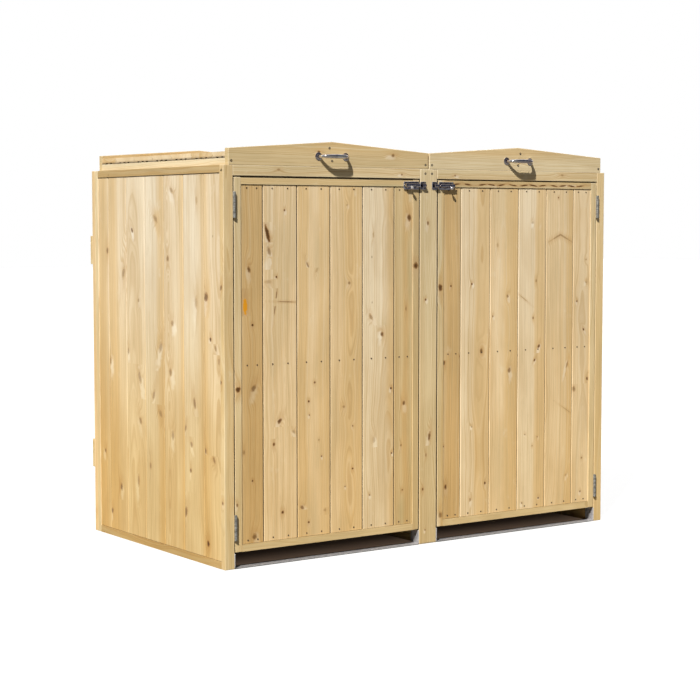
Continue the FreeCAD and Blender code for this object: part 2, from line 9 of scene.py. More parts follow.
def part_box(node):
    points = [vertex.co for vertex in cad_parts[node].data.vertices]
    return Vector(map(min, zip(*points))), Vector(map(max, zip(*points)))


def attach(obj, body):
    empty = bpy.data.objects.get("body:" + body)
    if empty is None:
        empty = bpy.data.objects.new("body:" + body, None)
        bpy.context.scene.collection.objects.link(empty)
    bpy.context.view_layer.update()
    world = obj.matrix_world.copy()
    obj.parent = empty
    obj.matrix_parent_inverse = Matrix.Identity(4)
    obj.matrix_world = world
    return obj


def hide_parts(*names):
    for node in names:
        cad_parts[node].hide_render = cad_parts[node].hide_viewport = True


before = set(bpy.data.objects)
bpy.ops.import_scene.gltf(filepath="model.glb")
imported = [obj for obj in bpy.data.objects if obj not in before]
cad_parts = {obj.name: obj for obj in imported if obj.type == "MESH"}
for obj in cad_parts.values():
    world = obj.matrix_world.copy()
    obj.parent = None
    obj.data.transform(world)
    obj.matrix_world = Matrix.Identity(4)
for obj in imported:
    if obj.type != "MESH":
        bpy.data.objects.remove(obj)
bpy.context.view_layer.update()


# The view: a long lens at chest height off the left front corner, so that the doors, the left
# side panel and the fronts of the two lids show together
view_camera = bpy.data.objects.new("view_camera", bpy.data.cameras.new("view_camera"))
view_camera.data.lens = 89.3
view_camera.data.sensor_width = 36.0
view_camera.data.clip_end = 100.0
view_camera.location = (-3.3994, -4.7939, 1.0359)
view_camera.rotation_euler = Vector((0.5758, 0.8142, -0.0741)).to_track_quat("-Z", "Y").to_euler()
bpy.context.scene.collection.objects.link(view_camera)
bpy.context.scene.camera = view_camera
bpy.context.scene.view_settings.view_transform = "Standard"


# The studio: a pale floor that runs out into a white background, a key light high on the left front
# where the sun stands in the photograph, a weak light from behind and a soft sky all round
class Field:
    """A value, place or colour that varies over a surface. Arithmetic on it adds math nodes."""

    def __init__(self, socket):
        self.socket = socket

    def __add__(self, other):
        return calc("ADD", self, other)

    def __sub__(self, other):
        return calc("SUBTRACT", self, other)

    def __rsub__(self, other):
        return calc("SUBTRACT", other, self)

    def __mul__(self, other):
        return calc("MULTIPLY", self, other)

    def __truediv__(self, other):
        return calc("DIVIDE", self, other)

    def __pow__(self, other):
        return calc("POWER", self, other)

    def __gt__(self, other):
        return calc("GREATER_THAN", self, other)

    def __lt__(self, other):
        return calc("LESS_THAN", self, other)

    def __abs__(self):
        return calc("ABSOLUTE", self)


def add(tree, kind, settings=None, inputs=None):
    """Adds a shader node with its settings and inputs, which are values or fields."""
    node = tree.nodes.new("ShaderNode" + kind)
    for name, value in (settings or {}).items():
        setattr(node, name, value)
    for name, value in (inputs or {}).items():
        if isinstance(value, Field):
            tree.links.new(value.socket, node.inputs[name])
        else:
            node.inputs[name].default_value = value
    return node.outputs


def field(kind, inputs, settings=None, output=0):
    """Adds a shader node beside the fields that it takes, and returns what it puts out."""
    tree = next(value.socket.id_data for value in inputs.values() if isinstance(value, Field))
    return Field(add(tree, kind, settings, inputs)[output])


def fields_of(sockets):
    return {socket.name: Field(socket) for socket in sockets}


def fill(sockets, fields):
    """Links fields to the named inputs of a shader or of a group's output."""
    for name, value in fields.items():
        value.socket.id_data.links.new(value.socket, sockets[name])


def calc(operation, *values, clamp=False):
    return field("Math", dict(enumerate(values)), {"operation": operation, "use_clamp": clamp})


def greater(first, second):
    return calc("MAXIMUM", first, second)


def blended(factor, first, second, blend="MIX"):
    return field("Mix", {0: factor, 6: first, 7: second}, {"data_type": "RGBA", "blend_type": blend}, 2)


def ramped(value, low, high, start=0.0, end=1.0):
    """A smooth step from start to end while value goes from low to high."""
    limits = {"Value": value, "From Min": low, "From Max": high, "To Min": start, "To Max": end}
    return field("MapRange", limits, {"interpolation_type": "SMOOTHSTEP"})


def axes(vector):
    """The three parts of a place or a colour."""
    return [Field(part) for part in add(vector.socket.id_data, "SeparateXYZ", None, {0: vector})]


def position(tree, kind="Object"):
    return Field(add(tree, "TexCoord")[kind])


def backdrop_rays(tree, mirrored):
    """The rays that show the white background: the camera's, those through glass, and mirrored ones."""
    ray = fields_of(add(tree, "LightPath"))
    straight = greater(ray["Is Camera Ray"], ray["Is Transmission Ray"])
    return greater(straight, ray["Is Glossy Ray"] * mirrored)


def new_material(name):
    material = bpy.data.materials.new(name)
    material.use_nodes = True
    tree = material.node_tree
    return material, tree, tree.nodes["Principled BSDF"].inputs


def new_object(name, mesh):
    made = bpy.data.objects.new(name, mesh)
    bpy.context.scene.collection.objects.link(made)
    return made


white = (1, 1, 1, 1)
floor_size = 60.0
# The ground that the store covers, out from the middle
covered_x = 0.757
covered_y = 0.418
floor_mesh = bpy.data.meshes.new("studio_floor")
floor_shape = bmesh.new()
bmesh.ops.create_grid(floor_shape, x_segments=4, y_segments=4, size=floor_size / 2)
floor_shape.to_mesh(floor_mesh)
floor_shape.free()
studio_floor = new_object("studio_floor", floor_mesh)

floor_paint, tree, paint = new_material("floor_paint")
paint["Base Color"].default_value = (0.15, 0.146, 0.135, 1)
paint["Roughness"].default_value = 0.9
x, y, _ = axes(position(tree))
outside = greater(abs(x) > covered_x, abs(y) > covered_y)
# Inside the footprint the floor glows a warm brown, more towards the doorways: painted light on the shaded
# ground under the doors
painted_doorway_light = ramped(y, -0.22, -0.44, 0.012, 0.12)
painted = Field(tree.nodes["Principled BSDF"].outputs[0])
glow = field("Emission", {
    "Color": blended(outside, (0.75, 0.49, 0.34, 1), white), "Strength": greater(painted_doorway_light, outside * 0.84)})
lit_floor = field("AddShader", {0: painted, 1: glow})
fill(tree.nodes["Material Output"].inputs, {
    "Surface": field("MixShader", {0: backdrop_rays(tree, y > covered_y), 1: painted, 2: lit_floor})})
floor_mesh.materials.append(floor_paint)

studio_world = bpy.data.worlds.new("studio_world")
studio_world.use_nodes = True
bpy.context.scene.world = studio_world
tree = studio_world.node_tree
_, y, z = axes(position(tree, "Generated"))
soft_light = blended(ramped(z, 0.03, 0.6), (0.13, 0.127, 0.12, 1), (0.055, 0.066, 0.095, 1))
bright_sky = ramped(z, 0.76, 0.88, 0.0, 0.5)
shown_white = backdrop_rays(tree, greater(y > 0.0, bright_sky))
fill(tree.nodes["Background"].inputs, {"Color": blended(shown_white, soft_light, white)})


def distant_light(name, towards, angle, strength, colour):
    data = bpy.data.lights.new(name, "SUN")
    data.angle = math.radians(angle)
    data.energy = strength
    data.color = colour
    new_object(name, data).rotation_euler = Vector(towards).to_track_quat("Z", "Y").to_euler()


distant_light("key_light", (-0.557, -0.427, 0.712), 2.5, 6.0, (1.0, 0.985, 0.945))
distant_light("back_light", (0.60, 0.78, 0.20), 40.0, 2.3, (0.98, 0.99, 1.0))


# The side panels: two stiles and two rails of planed softwood, rebated and butted together, with
# upright tongue and groove boards let into the rebates and nailed from inside
carcass_low, carcass_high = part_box("left_side_front_stile")
carcass_left, carcass_front = carcass_low.x, carcass_low.y
carcass_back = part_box("left_side_back_stile")[1].y
carcass_height = carcass_high.z
frame_thickness = 0.033
frame_width = 0.042
rebate_depth = 0.0145
side_lip = 0.022
board_thickness = 0.012
board_cover = 0.122
board_vee = 0.0025
board_gap = 0.0005
tongue_length = 0.005
tongue_half = 0.002
tongue_end_play = 0.0006
tongue_side_play = 0.0003
timber_arris = 0.0012
board_arris = 0.0004
rightwards, backwards, upwards = Vector((1, 0, 0)), Vector((0, 1, 0)), Vector((0, 0, 1))
mirror = Matrix.Diagonal((-1, 1, 1, 1))
halves = (("left", 1, Matrix.Identity(4)), ("right", -1, mirror))


def verts_of(made):
    return [item for item in made["geom"] if isinstance(item, bmesh.types.BMVert)]


def outwards(shape):
    bmesh.ops.recalc_face_normals(shape, faces=shape.faces)
    return shape


def shifted(shape, *by):
    bmesh.ops.translate(shape, vec=by, verts=shape.verts)
    return shape


def stick(section, length):
    """A planed length of timber: its section in X and Y, its grain along Z."""
    shape = bmesh.new()
    end = shape.faces.new([shape.verts.new((x, y, 0.0)) for x, y in section])
    run = bmesh.ops.extrude_face_region(shape, geom=[end])
    bmesh.ops.translate(shape, vec=(0, 0, length), verts=verts_of(run))
    return outwards(shape)


def layer_of(shape, name, kind="float"):
    layers = getattr(shape.faces.layers, kind)
    return layers.get(name) or layers.new(name)


def mark(shape, name, value, chosen=lambda face, middle: True, kind="float"):
    """Writes a value on the chosen faces, which their material reads."""
    layer = layer_of(shape, name, kind)
    for face in shape.faces:
        if chosen(face, face.calc_center_median()):
            face[layer] = value
    return shape


def bevelled(shape, edges, offset, segments, wear_and_light=0.0):
    """Rounds edges and marks the new narrow faces as worn; on the rims of the bolt plates the mark is also a
    painted highlight.
    """
    layer = layer_of(shape, "wear_and_painted_light")
    made = bmesh.ops.bevel(
        shape, geom=edges, affect="EDGES", offset=offset, segments=segments, profile=0.5,
        clamp_overlap=True, material=-1)
    for face in made["faces"]:
        face[layer] = wear_and_light
    return shape


def eased(shape, arris):
    """Takes the sharp edges off a stick."""
    sharp = [edge for edge in shape.edges if edge.is_convex and edge.calc_face_angle(0) > 0.3]
    return bevelled(shape, sharp, arris, 2, 1.0)


def cut(shape, point, normal, clear_outer=False):
    bmesh.ops.bisect_plane(
        shape, geom=shape.verts[:] + shape.edges[:] + shape.faces[:], plane_co=point, plane_no=normal,
        clear_outer=clear_outer)


def shouldered(shape, reach, depth):
    """Draws the thin lip of a rail out past its body at both ends, to meet the stiles' lips."""
    cut(shape, backwards * depth, backwards)
    top = max(vert.co.z for vert in shape.verts)
    for level, step in ((0.0, -reach), (top, reach)):
        middles = [(face, face.calc_center_median()) for face in shape.faces]
        ends = [face for face, middle in middles if abs(middle.z - level) < 1e-6 and middle.y < depth]
        drawn = bmesh.ops.extrude_face_region(shape, geom=ends)
        bmesh.ops.translate(shape, vec=(0, 0, step), verts=verts_of(drawn))
        bmesh.ops.delete(shape, geom=ends, context="FACES_ONLY")
    return outwards(shape)


def grown(shape, pith, bands, tone, knots=(), vee=0.0, ends=(True, True), hollow=0.0, hollow_run=9.0,
          painted_end_shade=0.0):
    """Places the stick in its log: pith is the centre of the tree in the stick's own section, bands
    the heartwood's two edges and how softly they end, tone the lightness, the paleness and the
    strength of the rings. Each row of faces has one knot. The faces of the vees at joined sides are
    marked for soil and painted shade, those of the hollows in the back as far as they run for painted
    shade, and so is the lower end face where an end shade is given."""
    rows = sorted(knots, key=lambda knot: knot[1])
    for one, other in zip(rows, rows[1:]):
        cut(shape, upwards * ((one[1] + other[1]) / 2), upwards)
    place_layer = shape.verts.layers.float_vector.new("board_place")
    groove_layer = layer_of(shape, "board_groove")
    layer_of(shape, "board_upward_tint")
    layers = [layer_of(shape, name, "float_vector") for name in (
        "board_pith", "board_bands", "board_tone", "knot_place", "knot_form")]
    layer_of(shape, "wear_and_painted_light")
    for vert in shape.verts:
        vert[place_layer] = vert.co
    shape.normal_update()
    back = max(vert.co.y for vert in shape.verts) - 0.0002
    no_knot = (9.0, 9.0, 0.001, 1.0, 0.0, 0.0)
    for face in shape.faces:
        middle = face.calc_center_median()
        upright = abs(face.normal.z) < 0.3
        joined_side = ends[0] if face.normal.x < 0 else ends[1]
        if vee and upright and joined_side and abs(face.normal.x) > 0.3 and middle.y > vee * 0.3:
            face[groove_layer] = vee
        if hollow and upright and hollow - 0.0002 < middle.y < back and middle.z < hollow_run:
            face[groove_layer] = 0.0001
        if painted_end_shade and face.normal.z < -0.7:
            face[groove_layer] = painted_end_shade
        knot = min(rows, key=lambda knot: abs(knot[1] - middle.z), default=no_knot)
        across, along, radius, stretch, darkness, lean = knot
        values = (pith, bands, tone, (across, along, radius), (stretch, darkness, lean))
        for layer, value in zip(layers, values):
            face[layer] = value
    return shape


def turned(origin, across=rightwards, depth=backwards, along=upwards):
    """The placement of a stick whose own X, Y and Z lie along the three given directions."""
    place = Matrix((across, depth, along)).transposed().to_4x4()
    place.translation = origin
    return place


def placed(shape, place):
    bmesh.ops.transform(shape, matrix=place, verts=shape.verts)
    if place.determinant() < 0:
        bmesh.ops.reverse_faces(shape, faces=shape.faces)
    return shape


def fixed_together(name, shapes, material, body, slot, *nodes):
    """Makes one piece of the finished sticks, gives it its material and body, and hides the CAD nodes that it
    stands for.
    """
    mesh = bpy.data.meshes.new(name)
    whole = bmesh.new()
    for shape in shapes:
        part = bpy.data.meshes.new("stick")
        shape.to_mesh(part)
        shape.free()
        whole.from_mesh(part)
        bpy.data.meshes.remove(part)
    whole.to_mesh(mesh)
    whole.free()
    mesh.materials.append(material)
    piece = new_object(name, mesh)
    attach(piece, body)
    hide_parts(*nodes)
    return piece


def new_group(name, inputs, outputs):
    """A node group with named sockets. Returns it, what comes in, and the sockets that it fills."""
    group = bpy.data.node_groups.new(name, "ShaderNodeTree")
    for label, kind in inputs.items():
        group.interface.new_socket(name=label, in_out="INPUT", socket_type="NodeSocket" + kind)
    for label in outputs:
        group.interface.new_socket(name=label, in_out="OUTPUT", socket_type="NodeSocketFloat")
    given = fields_of(group.nodes.new("NodeGroupInput").outputs)
    return group, given, group.nodes.new("NodeGroupOutput").inputs


def combined(x, y, z):
    return field("CombineXYZ", {0: x, 1: y, 2: z})


def stretched(place, scale, seed=None):
    """A place with each direction scaled, moved by the board's own seed."""
    scaled = field("VectorMath", {0: place, 1: scale}, {"operation": "MULTIPLY"})
    if seed is None:
        return scaled
    return field("VectorMath", {0: scaled, 1: combined(seed, seed, seed)}, {"operation": "ADD"})


def noise(place, scale, seed=None, detail=2.0, roughness=0.5):
    """Noise from 0 to 1, of one scale or of one for each direction."""
    if isinstance(scale, tuple):
        place, scale = stretched(place, scale, seed), 1.0
    inputs = {"Vector": place, "Scale": scale, "Detail": detail, "Roughness": roughness}
    return field("TexNoise", inputs, output="Fac")


# A stretch under 0.3 is a streak across the grain, and a lean of more than 1 folds it into a vee
knot_group, given, result = new_group(
    "pine_knot", {"Place": "Vector", "Knot": "Vector", "Form": "Vector"},
    ("Bulge", "Core", "Wood", "Halo", "Pale", "Rings"))
place_x, _, place_z = axes(given["Place"])
knot_x, knot_z, radius = axes(given["Knot"])
stretch, _, lean = axes(given["Form"])
spike = stretch < 0.3
folded = lean > 1.0
lean = lean - folded
spike_lean = spike * lean
up = place_z - knot_z
aside = place_x - knot_x
along = ((abs(aside) - aside) * folded + aside) * spike_lean + up
across = up * (lean - spike_lean) + aside
coarse = noise(given["Place"], 48.0) - 0.5
ragged = noise(given["Place"], 150.0) - 0.5
x = across / radius
y = along / (radius * stretch)
x2, y2 = x * x, y * y
drawn_out = y2 * 0.3 + x2
away = coarse * 0.8 + (ragged * 0.75 + calc("SQRT", x2 + y2))
round_about = coarse * 1.6 + calc("SQRT", drawn_out)
swell = calc("EXPONENT", drawn_out * -0.2) * calc("MINIMUM", stretch, 1.3)
chance = field("TexWhiteNoise", {"Vector": given["Knot"]}, {"noise_dimensions": "3D"}, "Color")
luck_x, luck_y, _ = axes(chance)
pale_x = x + (luck_x * 2.6 - 1.3)
pale_y = (y + 1.5) * 0.6
pale_away = coarse * 2.2 + calc("SQRT", pale_y * pale_y + pale_x * pale_x)
fill(result, {
    "Bulge": swell * radius * 1.5,
    "Core": ramped(away, 0.35, 0.85, 1.0, 0.0),
    "Wood": ramped(away, 0.7, 1.15, 1.0, 0.0),
    "Halo": ramped(round_about, 0.6, 2.8, 1.0, 0.0),
    "Pale": ramped(pale_away, 0.5, 1.9, 1.0, 0.0) * ramped(luck_y, 0.1, 0.8) * (1.0 - spike),
    "Rings": calc("SINE", away * 15.0)})

ring_group, given, result = new_group(
    "growth_rings",
    {"Place": "Vector", "Pith": "Vector", "Bands": "Vector", "Bulge": "Float", "Ring Width": "Float"},
    ("Heart", "Late Wood", "Streaks", "Wide Streaks"))
place, bulge = given["Place"], given["Bulge"]
place_x, place_y, place_z = axes(place)
pith_x, pith_y, seed = axes(given["Pith"])
band_low, band_high, softness = axes(given["Bands"])
wander = noise(place, (5, 5, 1.6), seed) - 0.5
ripple = noise(place, (34, 34, 8), seed) - 0.5
bent = ripple * 0.006 + (wander * 0.045 + place_x)
into_band = calc("MINIMUM", bent - band_low, band_high - bent) + bulge
heart = calc("MULTIPLY_ADD", into_band / softness, 0.5, 0.5, clamp=True)
tilt = calc("FRACT", seed * 7.31) * 0.05 - 0.025
sway = noise(place, (0, 0, 2.4), seed)
x = bent - pith_x
y = place_y - (sway * 0.05 + (tilt * place_z + pith_y) - 0.025)
radius = ripple * 0.0022 + (calc("SQRT", x * x + y * y) + bulge)
radial = combined(radius, seed, place_z * 0.05)
part_way = calc("FRACT", noise(radial, (60, 1, 1), detail=1.0) * 2.2 + radius / given["Ring Width"])
late = ramped(part_way, 0.2, 0.88) * ramped(part_way, 0.9, 1.0, 1.0, 0.0)
fill(result, {
    "Heart": ramped(heart, 0.0, 1.0),
    "Late Wood": late * ramped(noise(radial, (130, 3, 2), detail=1.0), 0.3, 0.75, 0.15, 1.0),
    "Streaks": noise(radial, (170, 5, 6), detail=3.0, roughness=0.6),
    "Wide Streaks": noise(radial, (55, 5, 8))})

fibre_group, given, result = new_group(
    "pine_fibre", {"Place": "Vector", "Seed": "Float"},
    ("Fibre", "Flecks", "Pin Knots", "Cloud", "Smudge", "Lines"))
place, seed = given["Place"], given["Seed"]
cells = fields_of(add(fibre_group, "TexVoronoi", {"feature": "F1"}, {
    "Vector": stretched(place, (16, 0, 7), seed), "Scale": 1.0, "Randomness": 1.0}))
fill(result, {
    "Fibre": noise(place, (900, 900, 16), seed, 3.0, 0.6),
    "Flecks": ramped(noise(place, (420, 420, 24), seed, 1.0), 0.66, 0.74),
    "Pin Knots": ramped(cells["Distance"], 0.012, 0.04, 1.0, 0.0) * (axes(cells["Color"])[0] > 0.82),
    "Cloud": noise(place, (12, 12, 3.2), seed, 3.0),
    "Smudge": noise(place, (26, 26, 13), seed, 4.0, 0.6),
    "Lines": noise(place, (300, 300, 2.6), seed, 3.0, 0.6)})


def grouped(tree, group, inputs):
    """Places a node group in a material, and returns what it puts out by name."""
    return fields_of(add(tree, "Group", {"node_tree": group}, inputs))


def read(tree, attribute, output="Vector"):
    return Field(add(tree, "Attribute", {"attribute_name": attribute})[output])


def laid_over(look, *layers):
    """Lays one colour after another over a look, each where its mask is."""
    for mask, colour in layers:
        look = blended(mask, look, colour)
    return look


def pine(name, sapwood, pale_wood, heartwood, ring_width):
    """Planed, pressure-treated pine. The treatment greens the sapwood and leaves the heartwood tan."""
    material, tree, surface = new_material(name)
    place, pith, form = (read(tree, layer) for layer in ("board_place", "board_pith", "knot_form"))
    lightness, paleness, ring_strength = axes(read(tree, "board_tone"))
    knots = grouped(tree, knot_group, {"Place": place, "Knot": read(tree, "knot_place"), "Form": form})
    rings = grouped(tree, ring_group, {
        "Place": place, "Pith": pith, "Bands": read(tree, "board_bands"), "Bulge": knots["Bulge"],
        "Ring Width": ring_width})
    fibre = grouped(tree, fibre_group, {"Place": place, "Seed": axes(pith)[2]})
    late, streaks, wide_streaks = rings["Late Wood"], rings["Streaks"], rings["Wide Streaks"]
    darkness = axes(form)[1]
    resin = darkness < 0.0
    darkness = abs(darkness)
    strength = calc("MULTIPLY_ADD", darkness, 0.75, 0.3, clamp=True)

    pale = ramped(fibre["Cloud"], 0.35, 0.65, -0.2, 0.2) + paleness
    wood = blended(calc("MULTIPLY", pale, 1.0, clamp=True), sapwood, pale_wood)
    wood = laid_over(
        wood,
        (calc("MULTIPLY", pale, -1.0, clamp=True), (0.585, 0.475, 0.245, 1)),
        (rings["Heart"] * 0.74, heartwood),
        (ramped(wide_streaks, 0.52, 0.72, 0.0, 0.45), (0.585, 0.405, 0.19, 1)),
        (ramped(wide_streaks, 0.46, 0.28, 0.0, 0.40), pale_wood),
        (ramped(streaks, 0.52, 0.76, 0.0, 0.45), (0.52, 0.35, 0.16, 1)),
        (ramped(streaks, 0.46, 0.26, 0.0, 0.35), pale_wood))
    wood = blended(late * ring_strength, wood, (0.80, 0.70, 0.55, 1), "MULTIPLY")
    patch = greater(knots["Wood"] * (darkness < 0.02), knots["Pale"])
    knot_wood = blended(ramped(darkness, 0.2, 0.75), (0.52, 0.31, 0.11, 1), (0.30, 0.14, 0.04, 1))
    knot_wood = laid_over(
        knot_wood,
        (ramped(knots["Rings"], -0.6, 1.0, 0.0, 0.55), (0.17, 0.075, 0.022, 1)),
        (resin, (0.78, 0.34, 0.015, 1)))
    # The board_groove marks paint the pine darker: towards the bottom of a vee as soil and painted shade, and
    # in the hollows, at the eave ends, along the gaps and at the boards' ends as painted shade
    groove = read(tree, "board_groove", "Fac")
    depth = axes(place)[1] / greater(groove, 0.00001)
    soil_and_painted_shade = greater(ramped(depth, 0.45, 1.0, 0.0, 0.9) * (groove > 0.0), groove * -1.0)
    wood = laid_over(
        wood,
        (ramped(fibre["Lines"], 0.50, 0.74, 0.0, 0.5), (0.50, 0.36, 0.17, 1)),
        (ramped(fibre["Smudge"], 0.60, 0.80, 0.0, 0.32), (0.53, 0.40, 0.20, 1)),
        (ramped(fibre["Smudge"], 0.38, 0.22, 0.0, 0.45), pale_wood),
        (knots["Halo"] * (strength * 0.5), (0.50, 0.29, 0.11, 1)),
        (patch * ramped(paleness, -0.2, 0.7, 0.35, 0.65), (0.90, 0.80, 0.60, 1)),
        (knots["Wood"] * (strength * (darkness > 0.02)), knot_wood),
        (knots["Core"] * darkness * (1.0 - resin), (0.075, 0.034, 0.010, 1)),
        (fibre["Pin Knots"] * 0.7, (0.15, 0.08, 0.03, 1)),
        (fibre["Flecks"] * 0.12, (0.30, 0.19, 0.09, 1)),
        (read(tree, "wear_and_painted_light", "Fac") * 0.3, (0.88, 0.76, 0.54, 1)),
        (soil_and_painted_shade, (0.05, 0.034, 0.018, 1)))
    height = axes(position(tree))[2]
    golden = blended(ramped(height, 0.1, 1.15), (1.02, 0.98, 0.91, 1), (0.99, 1.02, 1.11, 1))
    wood = blended(1.0, wood, golden, "MULTIPLY")
    # The side boards are darker and yellower low down, lighter and bluer towards the top
    paler_bluer_upwards = blended(ramped(height, 0.15, 0.95), (0.92, 0.885, 0.755, 1), (1.06, 1.12, 1.26, 1))
    wood = blended(read(tree, "board_upward_tint", "Fac"), wood, paler_bluer_upwards, "MULTIPLY")
    shade = ramped(fibre["Fibre"], 0.2, 0.8, 0.95, 1.05) * ramped(fibre["Cloud"], 0.25, 0.75, 0.93, 1.07)
    shade = shade * lightness
    shades = {0: shade, 1: shade * lightness ** 0.25, 2: shade * lightness ** 0.8}
    rough = late * -0.12 + 0.62
    rough = knots["Wood"] * -0.14 + (fibre["Fibre"] * 0.14 + rough)
    relief = knots["Wood"] * 0.4 + (late * 0.4 + fibre["Fibre"] * 0.5)
    surface["Specular IOR Level"].default_value = 0.25
    fill(surface, {
        "Base Color": blended(1.0, wood, field("CombineColor", shades), "MULTIPLY"),
        "Roughness": rough,
        "Normal": field("Bump", {"Strength": 0.35, "Distance": 0.0005, "Height": relief})})
    return material


framing_pine = pine(
    "framing_pine", (0.665, 0.515, 0.28, 1), (0.73, 0.615, 0.395, 1), (0.65, 0.46, 0.21, 1), 0.0046)
board_pine = pine(
    "board_pine", (0.745, 0.547, 0.297, 1), (0.775, 0.645, 0.435, 1), (0.68, 0.46, 0.20, 1), 0.0055)


# The strip at each end of a board that is painted dark as shade where it meets a rail
painted_shade_strip = 0.0017
side_first_board = 0.068
panel_width = carcass_back - carcass_front
panel_corner = Vector((carcass_left, carcass_back, 0))


def rebated(lip):
    """The section of a stile or rail: a thin lip in front of the rebate that takes the boards."""
    return [
        (0, 0), (lip, 0), (lip, rebate_depth), (frame_width, rebate_depth),
        (frame_width, frame_thickness), (0, frame_thickness)]


def frame_log(seed, light=None, pale=0.0, heart=False):
    """Where a framing stick was sawn from its log, which may be all heartwood."""
    log = random.Random(seed)
    pith = (log.uniform(-0.05, 0.09), log.choice((-1, 1)) * log.uniform(0.03, 0.08), log.uniform(0, 50))
    edge = log.uniform(-0.06, 0.04)
    bands = (-1.0, 1.0, 0.006) if heart else (edge, edge + log.uniform(0.01, 0.05), 0.006)
    tone = (light or log.uniform(0.93, 1.03), pale, log.uniform(0.6, 1.0))
    return {"pith": pith, "bands": bands, "tone": tone}


def rail_shape(length, lip, stile_lips, seed, knots=(), light=None, pale=0.0, heart=False):
    """A rail along its own Z, from lip to lip, with its body shortened to fit between the stiles."""
    reach = frame_width - stile_lips
    shape = shouldered(stick(rebated(lip), length - 2 * reach), reach, rebate_depth)
    shape = shifted(eased(shape, timber_arris), 0, 0, reach)
    return grown(shape, knots=knots, **frame_log(seed, light, pale, heart))


def stile_shape(height, lip, seed, knots=(), light=None):
    return grown(eased(stick(rebated(lip), height), timber_arris), knots=knots, **frame_log(seed, light))


def board_section(width, thickness, vee, ends, hollows=()):
    """A board's outline: a chamfered face, a groove and a tongue, and any hollows in its back."""
    half = board_gap / 2
    low = half if ends[0] else 0.0
    high = width - half if ends[1] else width
    middle = (vee + thickness) / 2
    outline = [(low, vee), (low + vee, 0)] if ends[0] else [(low, 0)]
    if ends[1]:
        tip = high + tongue_length
        outline += [
            (high - vee, 0), (high, vee), (high, middle - tongue_half), (tip, middle - tongue_half),
            (tip, middle + tongue_half), (high, middle + tongue_half)]
    else:
        outline += [(high, 0)]
    outline += [(high, thickness)]
    for start, end, depth in sorted(hollows, reverse=True):
        bed = thickness - depth
        outline += [(end, thickness), (end, bed), (start, bed), (start, thickness)]
    outline += [(low, thickness)]
    if ends[0]:
        inner = low + tongue_length + tongue_end_play
        top, bottom = (middle + side * (tongue_half + tongue_side_play) for side in (1, -1))
        outline += [(low, top), (inner, top), (inner, bottom), (low, bottom)]
    return outline


def board_shape(width, height, log, knots=(), ends=(True, True), shade=1.0):
    """A board for a rebated frame. A low shade darkens more of the vee at its joints, as soil and
    painted shade, and a strip at each end, where it meets a rail, is painted dark as shade."""
    shape = eased(stick(board_section(width, board_thickness, board_vee, ends), height), board_arris)
    for level in (painted_shade_strip, height - painted_shade_strip):
        cut(shape, upwards * level, upwards)
    grown(shape, knots=knots, vee=board_vee * shade, ends=ends, **log)
    return mark(
        shape, "board_groove", -0.7, lambda face, middle: not painted_shade_strip < middle.z < height - painted_shade_strip)


def board_log(seed):
    """Where a board was sawn from its log. Most boards show a band of heartwood at one side."""
    log = random.Random(seed)
    pith = (log.uniform(-0.06, 0.18), log.choice((-1, 1)) * log.uniform(0.015, 0.06), log.uniform(0, 50))
    edge = log.uniform(-0.04, 0.09)
    bands = (edge, edge + log.uniform(0.02, 0.10), log.uniform(0.004, 0.012))
    tone = (log.uniform(0.93, 1.03), log.uniform(-0.2, 0.5), log.uniform(0.5, 1.0))
    return {"pith": pith, "bands": bands, "tone": tone}


def chosen_log(seed, band_low, band_high, softness, *tone):
    """A board's log with its bands, in millimetres, and its tone given."""
    return {**board_log(seed), "bands": (band_low / 1000, band_high / 1000, softness / 1000), "tone": tone}


def random_knots(seed, width, height, often=0.24):
    """Knots up a board at the uneven steps at which a pine sets its branches."""
    log = random.Random(seed)
    knots = []
    z = log.uniform(0.05, often * 1.5)
    while z < height - 0.03:
        radius = log.choice((0.003, 0.004, 0.006, 0.0085))
        knots.append((
            log.uniform(0.012, width - 0.012), z, radius, log.uniform(1.0, 2.6),
            log.uniform(0.1, 0.9), log.uniform(-0.5, 0.5)))
        z += log.uniform(0.45, 1.7) * often
    return knots


def boards_between(start, end, first):
    """The boards over a width: a first one cut narrower, whole ones, and what is left. Gives each
    one's number, its two edges, and which of them are joined to another board."""
    edges = [start]
    edge = start + first
    while edge < end - 0.002:
        edges.append(edge)
        edge += board_cover
    edges.append(end)
    last = len(edges) - 2
    return [(index, *pair, (index > 0, index < last)) for index, pair in enumerate(zip(edges, edges[1:]))]


def knot_table(text):
    """Knots written as across, height and radius in mm, stretch along the grain, darkness, and the
    lean of those that lean."""
    rows = [[float(number) for number in row.split()] for row in text.split(",")]
    return [row + [0.0] * (6 - len(row)) for row in rows]


def knots_within(knots, low, high, base, flipped=False, larger=1.0):
    """The knots of a table that lie on one board or stile, measured from its own corner, in metres."""
    found = []
    for x, z, radius, stretch, darkness, lean in knots:
        if low < x / 1000 <= high:
            across = high - x / 1000 if flipped else x / 1000 - low
            lean = -lean if flipped else lean
            found.append((across, z / 1000 - base, radius * larger / 1000, stretch, darkness, lean))
    return found


def framed(node, shape, place, body="carcass"):
    fixed_together(node + "_timber", [placed(shape, place)], framing_pine, body, "framing", node)


def facing_left(corner):
    """The placement of an upright stick of the left side panel or the divider."""
    return turned(corner, -backwards, rightwards)


